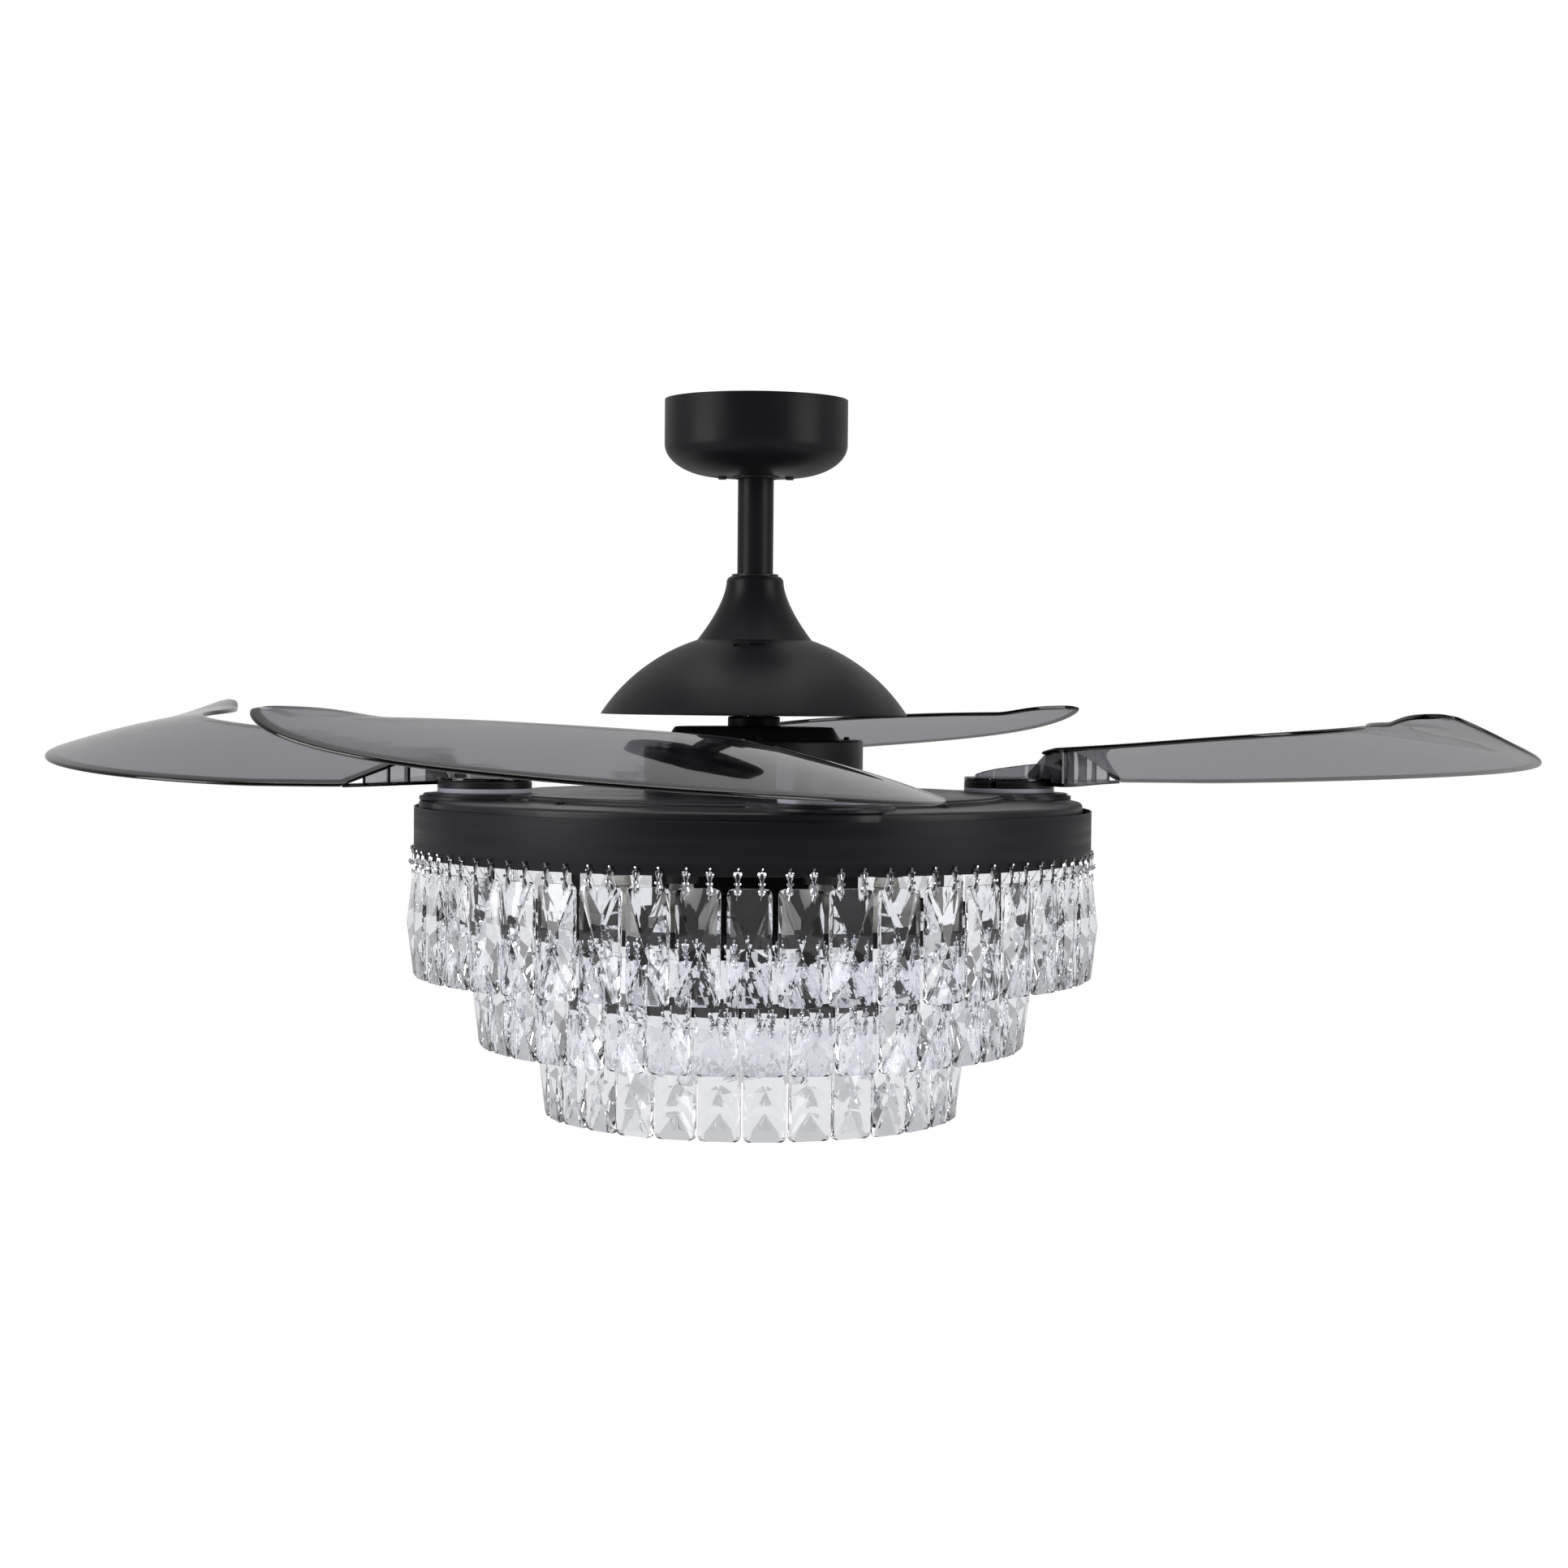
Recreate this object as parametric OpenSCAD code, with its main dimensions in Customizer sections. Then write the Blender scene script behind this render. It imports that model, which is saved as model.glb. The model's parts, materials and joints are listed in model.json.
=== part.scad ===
// Retractable blade ceiling fan with a three tier crystal light kit.
// Frame: millimetres, +Z up, the ceiling is z = 0 and the fan axis is x = y = 0. The front faces -Y.
// The model is drawn with its blades spread. A blade folds back by turning -fold_angle about its pivot.

/* [Canopy and downrod] */
// Outer radius of the canopy
canopy_r = 73.5; // [68:0.5:80]
// Height of the canopy from the ceiling to its flat bottom
canopy_h = 61.5; // [60:0.5:63]
// Sheet thickness of the canopy, the cone and the dome
sheet = 1.5; // [1:0.1:2]
// Radius of the hanger ball
ball_r = 25; // [24:0.5:26]
// Outer diameter of the downrod
rod_d = 28.8; // [26:0.2:29]
// Height of the ball's centre below the ceiling
ball_drop = 32; // [31:0.5:34]
// Distance between the two ceiling screws
ceiling_screw_spacing = 88.9; // [80:0.1:96]
// Diameter of a ceiling screw slot
ceiling_slot_d = 5.6; // [4.5:0.1:6.5]
// Whole length of a ceiling screw slot
ceiling_slot_l = 14; // [8:1:18]

/* [Dome and motor] */
// Radius of the sphere that the dome is cut from
dome_sphere_r = 147; // [146:0.5:150]
// Radius of the dome at its open rim
dome_rim_r = 123.5; // [120:0.5:125]
// Height of the dome's flat top below the ceiling
dome_top_drop = 192.4; // [192:0.2:193]
// Radius of the cone at its foot
cone_foot_r = 46.1; // [45:0.1:48]
// Radius of the motor shaft
shaft_r = 8; // [7:0.5:8.5]
// Radius of the rotor can
can_r = 88; // [84:1:92]
// Travel of the reverse switch knob
switch_travel = 7.5; // [5:0.5:8]

/* [Blade carrier and gears] */
// Radius of the circle on which the blades pivot
pivot_circle_r = 218; // [218]
// Outer radius of the blade carrier plate
plate_r = 264; // [262:0.5:265]
// Direction of the first pivot, turning left from +X
first_pivot_angle = 15.1; // [0:0.1:89]
// Teeth on each blade pinion
pinion_teeth = 17; // [17]
// Teeth on the synchronising sun gear, a multiple of four
sun_teeth = 92; // [92]
// Thickness of the gears
gear_t = 6; // [4:0.5:6]
// Play between two meshing teeth, along the pitch circle
gear_backlash = 0.5; // [0.3:0.1:0.8]
// Radial clearance of a running fit
running_clearance = 0.05; // [0.02:0.01:0.1]

/* [Blades] */
// Turn of a blade from folded to spread
fold_angle = 110.5; // [60:0.5:111]
// Radius of a blade's outer edge about the fan axis when folded
blade_outer_r = 256.4; // [250:0.2:258]
// Radius of a blade's inner edge about the fan axis when folded
blade_inner_r = 128; // [127:0.5:135]
// Angle from the pivot to the blade's tip, about the fan axis when folded
blade_tip_angle = 177; // [165:0.5:178]
// Thickness of the blade's skin
blade_t = 3; // [2.4:0.1:3.2]
// Rise of the skin above a straight line across the blade
blade_camber = 3; // [1:0.5:4]
// Rise of the raised corner near a blade's tip
winglet_h = 6.5; // [0:0.5:7]

/* [Light kit] */
// Outer radius of the drum band
band_r = 271.2; // [270:0.2:273]
// Height of the drum band
band_h = 39.1; // [36:0.1:42]
// Thickness of the drum band
band_t = 1.4; // [1:0.1:1.6]
// Height of a crystal
crystal_h = 85; // [80:1:86]
// Width of a crystal
crystal_w = 32.5; // [28:0.5:33]
// Thickness of a crystal at its middle
crystal_t = 12; // [8:0.5:14]
// Number of crystals in each tier, from the top
tier_counts = [46, 39, 30];
// Radius of the circle through the crystals of each tier
tier_radii = [271.2, 218, 165];
// Height of each tier's crystal tops below the ceiling
tier_drops = [374, 430.5, 487];
// Direction of one crystal of each tier
tier_turns = [-89.8, -87, -85.7];

/* [Hidden] */
$fn = 96;

// Colours of the finishes
black_coat = [0.11, 0.11, 0.13];
black_gloss = [0.15, 0.15, 0.17];
bright_steel = [0.75, 0.75, 0.77];
zinc = [0.62, 0.62, 0.64];
copper = [0.72, 0.42, 0.25];
smoke_clear = [0.5, 0.5, 0.54, 0.6];
crystal_clear = [0.85, 0.88, 0.92, 0.5];
white_nylon = [0.86, 0.86, 0.84];

// Heights from the ceiling down
cone_top_z = -141;
rod_top_z = -12;
rod_bottom_z = -186;
dome_top_z = -dome_top_drop;
dome_centre_z = dome_top_z - sqrt(pow(dome_sphere_r, 2) - pow(cone_foot_r, 2));
dome_rim_z = dome_centre_z + sqrt(pow(dome_sphere_r, 2) - pow(dome_rim_r, 2));
hub_top_z = -253.5;
shell_top_z = -262;
can_top_z = -272;
platform_z = -315;
plate_top_z = -320;
plate_under_z = -322.5;
gear_top_z = -323.5;
cover_top_z = -330.5;
cover_under_z = -332;
washer_top_z = -311;
boss_top_z = platform_z + 0.4;
flange_top_z = -305.4;
band_top_z = -326.4;
band_bottom_z = band_top_z - band_h;
pan_top_z = -346;
pan_under_z = -348;
hub_bottom_z = -448;

// Radii that several parts share
rod_r = rod_d / 2;
boss_r = 42;
flange_r = 37;
pivot_shaft_r = 10;
guide_ring_r = 60;
skirt_r = plate_r - 2.5;
band_inner_r = band_r - band_t;
can_wall = 3;
bearing_r = 16;
lower_bearing_z = plate_top_z + 2;

// The gears: the module follows from the pivot circle and the two tooth counts
gear_module = 2 * pivot_circle_r / (sun_teeth + pinion_teeth);
blade_count = 4;
quarter = 360 / blade_count;

// Turns a child to each of n places round the fan axis, the first at angle a
module around(n, a = 0) {
    for (i = [0:n - 1])
        rotate(a + i * 360 / n)
            children();
}

// A flat ring between two radii, its top at z
module ring(outer, inner, z, h) {
    translate([0, 0, z - h])
        difference() {
            cylinder(r = outer, h = h);
            translate([0, 0, -1])
                cylinder(r = inner, h = h + 2);
        }
}

// A solid disc with its top at z
module disc(r, z, h) {
    translate([0, 0, z - h])
        cylinder(r = r, h = h);
}

// A pan head screw pointing up: head under z, shank up from z
module screw_up(shank_r, length, head_r, head_h) {
    cylinder(r = shank_r, h = length);
    translate([0, 0, -head_h])
        cylinder(r1 = head_r * 0.75, r2 = head_r, h = head_h);
}

// ---------------------------------------------------------------- ceiling mount

bracket_t = 2;
bracket_w = 42;
bracket_arm_x = 33;
cradle_top_z = -44;
cradle_bottom_z = -50;
canopy_screw_x = 27;

// Steel hanger bracket: slotted strap on the ceiling, two arms and the cradle that holds the ball
module ceiling_bracket() {
    color(zinc)
        difference() {
            union() {
                // strap with round ends
                translate([0, 0, -bracket_t])
                    linear_extrude(bracket_t)
                        intersection() {
                            square([124, bracket_w], center = true);
                            circle(r = 62);
                        }
                // arms
                for (side = [-1, 1])
                    translate([side * bracket_arm_x - 1, -15, cradle_bottom_z])
                        cube([bracket_t, 30, -cradle_bottom_z - bracket_t / 2]);
                // cradle plate
                translate([0, 0, cradle_bottom_z])
                    linear_extrude(cradle_top_z - cradle_bottom_z)
                        intersection() {
                            square([2 * bracket_arm_x + 2, 56], center = true);
                            circle(r = 37);
                        }
                // stop that keeps the ball from turning
                translate([18.5, -2, cradle_bottom_z])
                    cube([6, 4, 6]);
            }
            // slots for the ceiling screws
            for (side = [-1, 1])
                translate([side * ceiling_screw_spacing / 2, 0, -5])
                    linear_extrude(10)
                        slot_outline(ceiling_slot_l, ceiling_slot_d);
            // spherical seat of the ball, with the stop left standing
            difference() {
                translate([0, 0, -ball_drop])
                    sphere(r = ball_r + 0.3);
                translate([18.5, -2, cradle_bottom_z - 1])
                    cube([8, 4, 7]);
            }
            translate([0, 0, cradle_bottom_z - 1])
                cylinder(r = 18.2, h = 4);
            // wire hole in the strap and holes for the canopy screws
            translate([0, 0, -5])
                cylinder(r = 14, h = 10);
            for (side = [-1, 1])
                translate([side * canopy_screw_x, 0, cradle_bottom_z - 1])
                    cylinder(r = 2.05, h = 4.5);
        }
}

// A slot's outline, long along X
module slot_outline(l, d) {
    square([l - d, d], center = true);
    for (side = [-1, 1])
        translate([side * (l - d) / 2, 0])
            circle(d = d);
}

canopy_hole_r = 16.8;
bowl_depth = 25.8;
bowl_start_z = -canopy_h + bowl_depth;
canopy_flat_r = 30;

// Height of the canopy's outside at a radius past its flat bottom: a quarter of an ellipse
function bowl_z(r) =
    bowl_start_z - bowl_depth * sqrt(1 - pow(max(0, (r - canopy_flat_r) / (canopy_r - canopy_flat_r)), 2.0));

// Sheet steel canopy: straight wall, bowl and flat bottom with the rod hole
module canopy() {
    steps = 14;
    bowl = [for (i = [0:steps])
        let (a = 90 * i / steps)
            [canopy_flat_r + (canopy_r - canopy_flat_r) * cos(a), bowl_start_z - bowl_depth * sin(a)]];
    inner = [for (i = [0:steps])
        let (a = 90 * (1 - i / steps))
            [canopy_flat_r + (canopy_r - canopy_flat_r - sheet) * cos(a),
             bowl_start_z - (bowl_depth - sheet) * sin(a)]];
    color(black_coat)
        difference() {
            rotate_extrude()
                polygon(concat(
                    [[canopy_r, 0]], bowl, [[canopy_hole_r, -canopy_h], [canopy_hole_r, -canopy_h + sheet]],
                    inner, [[canopy_r - sheet, 0]]));
            for (side = [-1, 1])
                translate([side * canopy_screw_x, 0, -canopy_h - 1])
                    cylinder(r = 2.05, h = 4);
        }
}

// Trim ring under the canopy's rod hole
module canopy_ring() {
    color(black_gloss)
        rotate_extrude()
            polygon([[canopy_hole_r, -canopy_h], [canopy_hole_r, -canopy_h - 1.6],
                     [18, -canopy_h - 1.6], [18.9, -canopy_h - 0.8], [18.9, -canopy_h]]);
}

// Two screws that hold the canopy to the bracket's cradle
module canopy_screws() {
    color(black_gloss)
        for (side = [-1, 1])
            translate([side * canopy_screw_x, 0, -canopy_h])
                screw_up(2, 14.5, 4, 2.2);
}

// ---------------------------------------------------------------- downrod and cone

ball_half = 18;
pin_r = 3;

// Hanger ball, cut flat above and below, with the groove that meets the bracket's stop
module hanger_ball() {
    color(white_nylon)
        translate([0, 0, -ball_drop])
            difference() {
                intersection() {
                    sphere(r = ball_r);
                    cube([60, 60, 2 * ball_half], center = true);
                }
                cylinder(r = rod_r, h = 60, center = true);
                rotate([90, 0, 0])
                    cylinder(r = pin_r, h = 60, center = true);
                translate([17, -3.8, -20])
                    cube([10, 7.6, 12]);
            }
}

// Pin through the ball and the rod
module ball_cross_pin() {
    color(bright_steel)
        translate([0, 0, -ball_drop])
            rotate([90, 0, 0])
                cylinder(r = pin_r, h = 46, center = true);
}

// Steel tube that hangs the fan, cross drilled for both pins
module downrod() {
    color(black_coat)
        difference() {
            translate([0, 0, rod_bottom_z])
                cylinder(r = rod_r, h = rod_top_z - rod_bottom_z);
            translate([0, 0, rod_bottom_z - 1])
                cylinder(r = rod_r - 2.2, h = rod_top_z - rod_bottom_z + 2);
            for (z = [-ball_drop, coupling_pin_z])
                translate([0, 0, z])
                    rotate([90, 0, 0])
                        cylinder(r = pin_r, h = 60, center = true);
        }
}

// Thin collar on the rod that closes the top of the cone
module downrod_collar() {
    color(black_gloss)
        ring(18.6, rod_r, cone_top_z + 1.6, 1.6);
}

// Outside radius of the cone at a height above its foot, from 0 at the foot to 1 at the top
function cone_r(t) = 22.9 + (cone_foot_r - 22.9) * pow(1 - t, 1.55);

// Flared cone that covers the coupling
module coupling_cover() {
    steps = 16;
    foot_z = dome_top_z;
    shoulder_z = cone_top_z - 5;
    outside = [for (i = [0:steps]) [cone_r(i / steps), foot_z + (shoulder_z - foot_z) * i / steps]];
    shoulder = [for (i = [1:4]) let (a = 22.5 * i) [17.9 + 5 * cos(a), shoulder_z + 5 * sin(a)]];
    inside = [for (i = [0:steps])
        let (t = 1 - i / steps)
            [cone_r(t) - sheet * 1.1, foot_z + (shoulder_z - foot_z) * t]];
    color(black_coat)
        rotate_extrude()
            polygon(concat(outside, shoulder, [[rod_r, cone_top_z], [rod_r, cone_top_z - sheet]],
                           [[17.9, cone_top_z - sheet]], inside));
}

// ---------------------------------------------------------------- dome and coupling

coupling_r = 22;
coupling_top_z = -163;
coupling_bottom_z = -214;
coupling_flange_r = 37;
coupling_pin_z = -174;
dome_screw_x = 30;

// Yoke that joins the rod to the motor shaft, with the flange that carries the dome
module motor_coupling() {
    color(zinc)
        difference() {
            union() {
                disc(coupling_r, coupling_top_z, coupling_top_z - coupling_bottom_z);
                disc(coupling_flange_r, dome_top_z - sheet, 4);
            }
            translate([0, 0, rod_bottom_z])
                cylinder(r = rod_r, h = 60);
            translate([0, 0, coupling_bottom_z - 1])
                cylinder(r = shaft_r, h = 60);
            translate([0, 0, coupling_pin_z])
                rotate([90, 0, 0])
                    cylinder(r = pin_r, h = 60, center = true);
            around(4, 45)
                translate([dome_screw_x, 0, dome_top_z - sheet - 5])
                    cylinder(r = 2, h = 6);
        }
}

// Pin through the yoke and the rod
module coupling_pin() {
    color(bright_steel)
        translate([0, 0, coupling_pin_z])
            rotate([90, 0, 0])
                cylinder(r = pin_r, h = 2 * coupling_r + 6, center = true);
}

dome_hole_r = coupling_r + 0.5;
switch_r = 57;
switch_slope = asin(switch_r / dome_sphere_r);
switch_x = -3.7;
switch_slot_l = 24.7;
switch_slot_w = 5;

// Stands a child on the dome's front, its local Z along the dome's normal
module on_dome_front() {
    translate([switch_x, -switch_r, dome_centre_z + sqrt(pow(dome_sphere_r, 2) - pow(switch_r, 2))])
        rotate([switch_slope, 0, 0])
            children();
}

// Spherical dome over the motor, open below, with a flat top and the switch slot
module motor_dome() {
    inside_r = dome_sphere_r - sheet;
    inside_top_r = sqrt(pow(inside_r, 2) - pow(dome_top_z - sheet - dome_centre_z, 2));
    inside_rim_r = sqrt(pow(inside_r, 2) - pow(dome_rim_z - dome_centre_z, 2));
    steps = 24;
    a_top = acos(cone_foot_r / dome_sphere_r);
    a_rim = acos(dome_rim_r / dome_sphere_r);
    b_top = acos(inside_top_r / inside_r);
    b_rim = acos(inside_rim_r / inside_r);
    outside = [for (i = [0:steps])
        let (a = a_top + (a_rim - a_top) * i / steps)
            [dome_sphere_r * cos(a), dome_centre_z + dome_sphere_r * sin(a)]];
    inside = [for (i = [0:steps])
        let (a = b_rim + (b_top - b_rim) * i / steps)
            [inside_r * cos(a), dome_centre_z + inside_r * sin(a)]];
    color(black_coat)
        difference() {
            rotate_extrude()
                polygon(concat([[dome_hole_r, dome_top_z]], outside, inside,
                               [[dome_hole_r, dome_top_z - sheet]]));
            on_dome_front()
                cube([switch_slot_l, switch_slot_w, 12], center = true);
            around(4, 45)
                translate([dome_screw_x, 0, dome_top_z - sheet - 1])
                    cylinder(r = 2, h = 6);
        }
}

// Four screws that hold the dome to the coupling's flange, hidden under the cone
module dome_screws() {
    color(bright_steel)
        around(4, 45)
            translate([dome_screw_x, 0, dome_top_z])
                rotate([180, 0, 0])
                    screw_up(2, 5.4, 3.8, 2);
}

knob_l = 8.7;
knob_w = 4.4;

// Slide switch housing under the dome's slot
module reverse_switch_body() {
    color(black_gloss)
        difference() {
            intersection() {
                on_dome_front()
                    translate([0, 0, -7.5])
                        cube([31, 11, 15], center = true);
                translate([0, 0, dome_centre_z])
                    sphere(r = dome_sphere_r - sheet);
            }
            // channel in which the knob slides
            on_dome_front()
                cube([knob_l + switch_travel + 0.8, knob_w + 0.6, 16], center = true);
        }
}

// Ribbed knob that reverses the motor, at the left end of its travel
module reverse_switch_knob() {
    color(black_gloss)
        on_dome_front()
            translate([-switch_travel / 2, 0, 0])
                difference() {
                    translate([-knob_l / 2, -knob_w / 2, -7.95])
                        cube([knob_l, knob_w, 9.55]);
                    for (i = [-2:2])
                        translate([i * 1.6 - 0.35, -5, 0.9])
                            cube([0.7, 10, 2]);
                }
}

// Run capacitor under the coupling's flange
module run_capacitor() {
    color([0.16, 0.16, 0.16])
        translate([-20, coupling_r + 1.5, dome_top_z - sheet - 4 - 28])
            cube([40, 20, 28]);
}

// ---------------------------------------------------------------- motor

shaft_top_z = -190;
shaft_bottom_z = -358;
stator_top_z = -283;
stator_h = 20;
stator_r = 62;
tooth_count = 16;
winding_h = 7;

// Hollow steel shaft, fixed, that the motor turns on and the light kit hangs from
module motor_shaft() {
    color(bright_steel)
        difference() {
            union() {
                disc(shaft_r, shaft_top_z, shaft_top_z - shaft_bottom_z);
                // shoulder that carries the stator
                disc(shaft_r + 3, stator_top_z + 4, stator_h + 8);
            }
            translate([0, 0, shaft_bottom_z - 1])
                cylinder(r = shaft_r - 3, h = shaft_top_z - shaft_bottom_z + 2);
        }
}

// Laminated stator: teeth round a hub
module stator_core() {
    color(zinc)
        translate([0, 0, stator_top_z - stator_h])
            linear_extrude(stator_h)
                difference() {
                    circle(r = stator_r);
                    circle(r = shaft_r + 3);
                    around(tooth_count)
                        translate([stator_r - 24, -4.5])
                            square([20, 9]);
                    around(tooth_count)
                        translate([stator_r - 6, -1.5])
                            square([8, 3]);
                }
}

// Windings: a coil side in every slot and the end turns above and below the core
module stator_windings() {
    color(copper)
        union() {
            for (z = [stator_top_z + winding_h, stator_top_z - stator_h])
                ring(stator_r - 5, stator_r - 23, z, winding_h);
            around(tooth_count)
                translate([stator_r - 22, -4.2, stator_top_z - stator_h - 0.5])
                    cube([16, 8.4, stator_h + 1]);
        }
}

can_screw_r = 75;
can_screw_turn = 4;
can_screw_shank_r = 1.8;

// Rotor can: the outer drum of the motor, in one with its foot flange
module rotor_can() {
    color(black_coat)
        difference() {
            rotate_extrude()
                polygon([[62, can_top_z], [can_r - 1.5, can_top_z], [can_r, can_top_z - 1.5],
                         [can_r, platform_z], [can_r - 14, platform_z], [can_r - 14, platform_z + 3],
                         [can_r - can_wall, platform_z + 3], [can_r - can_wall, can_top_z - can_wall],
                         [62, can_top_z - can_wall]]);
            around(4, can_screw_turn)
                translate([can_screw_r, 0, can_top_z - can_wall - 1])
                    cylinder(r = can_screw_shank_r + running_clearance, h = can_wall + 2);
        }
}

// Four screws through the can's shoulder, beside the upper shell
module can_screws() {
    color(black_coat)
        around(4, can_screw_turn)
            translate([can_screw_r, 0, can_top_z])
                rotate([180, 0, 0])
                    screw_up(can_screw_shank_r, 4.4, 2.6, 2.4);
}

// Rotor laminations inside the can
module rotor_ring() {
    color(zinc)
        ring(can_r - can_wall, stator_r + 0.7, stator_top_z, stator_h);
}

// Tapered upper shell of the motor, with the hub that holds the upper bearing
module rotor_top_shell() {
    color(black_coat)
        difference() {
            rotate_extrude()
                polygon([[shaft_r + 2, hub_top_z], [19.5, hub_top_z], [21, hub_top_z - 1.5],
                         [21, shell_top_z], [62, shell_top_z], [64, shell_top_z - 0.8], [70, can_top_z],
                         [61, can_top_z], [58, shell_top_z - 3.5], [bearing_r + 3, shell_top_z - 3.5],
                         [bearing_r + 3, shell_top_z - 5], [bearing_r, shell_top_z - 5],
                         [bearing_r, hub_top_z - 2.5], [shaft_r + 2, hub_top_z - 2.5]]);
            // four small screw seats near the edge
            around(4, 30)
                translate([60, 0, shell_top_z - 1.2])
                    cylinder(r = 3.4, h = 3);
        }
}

// Ball bearing: inner and outer race in one with the ball row between them
module bearing(top_z) {
    color(bright_steel)
        rotate_extrude()
            polygon([[shaft_r + running_clearance, top_z], [shaft_r + 3, top_z], [shaft_r + 3.4, top_z - 0.8],
                     [bearing_r - 3.4, top_z - 0.8], [bearing_r - 3, top_z], [bearing_r, top_z],
                     [bearing_r, top_z - 8], [bearing_r - 3, top_z - 8], [bearing_r - 3.4, top_z - 7.2],
                     [shaft_r + 3.4, top_z - 7.2], [shaft_r + 3, top_z - 8],
                     [shaft_r + running_clearance, top_z - 8]]);
}

module upper_bearing() { bearing(hub_top_z - 2.5); }
module lower_bearing() { bearing(lower_bearing_z); }

// ---------------------------------------------------------------- blade carrier

platform_r = 198;
lobe_r = 48;
plate_screw_r = 206;
plate_screw_turn = 30;
pocket_r = 192;

// Outline of the raised platform: a disc with a lobe at each pivot
module platform_outline(grow = 0) {
    circle(r = platform_r + grow);
    around(blade_count, first_pivot_angle)
        translate([pivot_circle_r, 0])
            circle(r = lobe_r + grow);
}

// Die cast carrier plate: rounded rim with a skirt, raised platform, four bosses, gear guide ring
module blade_plate() {
    edge = 3;
    color(black_gloss)
        difference() {
            union() {
                // disc with its rounded rim and skirt
                rotate_extrude()
                    polygon(concat(
                        [[shaft_r + 4, plate_under_z], [shaft_r + 4, plate_top_z], [plate_r - edge, plate_top_z]],
                        [for (a = [75:-15:0]) [plate_r - edge + edge * cos(a), plate_top_z - edge + edge * sin(a)]],
                        [[plate_r, cover_top_z], [skirt_r, cover_top_z], [skirt_r, plate_under_z]]));
                // platform, in two steps
                translate([0, 0, plate_top_z])
                    linear_extrude(platform_z - plate_top_z - 2)
                        platform_outline(3);
                translate([0, 0, plate_top_z])
                    linear_extrude(platform_z - plate_top_z)
                        platform_outline();
                around(blade_count, first_pivot_angle)
                    translate([pivot_circle_r, 0, plate_top_z])
                        cylinder(r = boss_r, h = boss_top_z - plate_top_z);
                // guide ring of the sun gear and the housing of the lower bearing
                ring(guide_ring_r, guide_ring_r - 4, plate_under_z, plate_under_z - cover_top_z);
                ring(bearing_r + 4, bearing_r, plate_under_z, 6);
                // posts that the cover is screwed to
                around(blade_count, first_pivot_angle + plate_screw_turn)
                    translate([plate_screw_r, 0, cover_top_z])
                        cylinder(r = 6, h = plate_top_z - cover_top_z);
            }
            // hollow under the platform, inside the gears
            ring_pocket();
            // seat of the lower bearing and the shaft hole above it
            translate([0, 0, plate_under_z - 10])
                cylinder(r = bearing_r, h = 10 + lower_bearing_z - plate_under_z);
            translate([0, 0, plate_under_z - 1])
                cylinder(r = shaft_r + 4, h = 12);
            around(blade_count, first_pivot_angle)
                translate([pivot_circle_r, 0, plate_under_z - 1])
                    cylinder(r = pivot_shaft_r + running_clearance, h = 12);
            around(blade_count, first_pivot_angle + plate_screw_turn)
                translate([plate_screw_r, 0, cover_top_z - 1])
                    cylinder(r = 2, h = 20);
        }
}

// Ring shaped hollow cast under the platform
module ring_pocket() {
    ring(pocket_r, guide_ring_r + 20, platform_z - 3, platform_z - 3 - plate_under_z + 1);
}

// Thin cover under the gears
module plate_cover() {
    color(black_coat)
        difference() {
            disc(skirt_r - 0.5, cover_top_z, cover_top_z - cover_under_z);
            translate([0, 0, cover_under_z - 1])
                cylinder(r = bearing_r + 8, h = 4);
            around(blade_count, first_pivot_angle)
                translate([pivot_circle_r, 0, cover_under_z - 1])
                    cylinder(r = pivot_shaft_r + running_clearance, h = 4);
            around(blade_count, first_pivot_angle + plate_screw_turn)
                translate([plate_screw_r, 0, cover_under_z - 1])
                    cylinder(r = 2, h = 4);
        }
}

// Four screws that clamp the cover to the plate's posts
module plate_screws() {
    color(bright_steel)
        around(blade_count, first_pivot_angle + plate_screw_turn)
            translate([plate_screw_r, 0, plate_top_z])
                rotate([180, 0, 0])
                    screw_up(2, plate_top_z - cover_under_z, 4.2, 2.4);
}

// Pale washer on each boss that the blade turns on
module pivot_washers() {
    color([0.78, 0.78, 0.8])
        around(blade_count, first_pivot_angle)
            translate([pivot_circle_r, 0, 0])
                ring(flange_r, pivot_shaft_r + running_clearance, washer_top_z, washer_top_z - boss_top_z);
}

// ---------------------------------------------------------------- gears

// Involute of an angle, in degrees
function involute(a) = tan(a) * 180 / PI - a;

// Half the angle that a tooth fills at radius r
function tooth_half(r, teeth) =
    let (pitch_r = gear_module * teeth / 2,
         base_r = pitch_r * cos(20),
         a = r > base_r ? acos(base_r / r) : 0,
         play = gear_backlash / 2 / pitch_r * 180 / PI / 2)
        90 / teeth - play + involute(20) - involute(a);

// Involute gear outline with a tooth centred on angle 0, and shorter teeth than full depth by trim
module gear_outline(teeth) {
    pitch_r = gear_module * teeth / 2;
    base_r = pitch_r * cos(20);
    root_r = pitch_r - 1.2 * gear_module;
    tip_r = pitch_r + 0.9 * gear_module;
    low_r = max(root_r, base_r);
    radii = concat(root_r < base_r ? [root_r] : [],
                   [for (i = [0:3]) low_r + (tip_r - low_r) * i / 3]);
    points = [for (i = [0:teeth - 1])
        let (a = i * 360 / teeth)
            each concat([for (r = radii) let (b = a - tooth_half(r, teeth)) [r * cos(b), r * sin(b)]],
                        [for (j = [len(radii) - 1:-1:0])
                            let (r = radii[j], b = a + tooth_half(r, teeth)) [r * cos(b), r * sin(b)]])];
    polygon(points);
}

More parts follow.
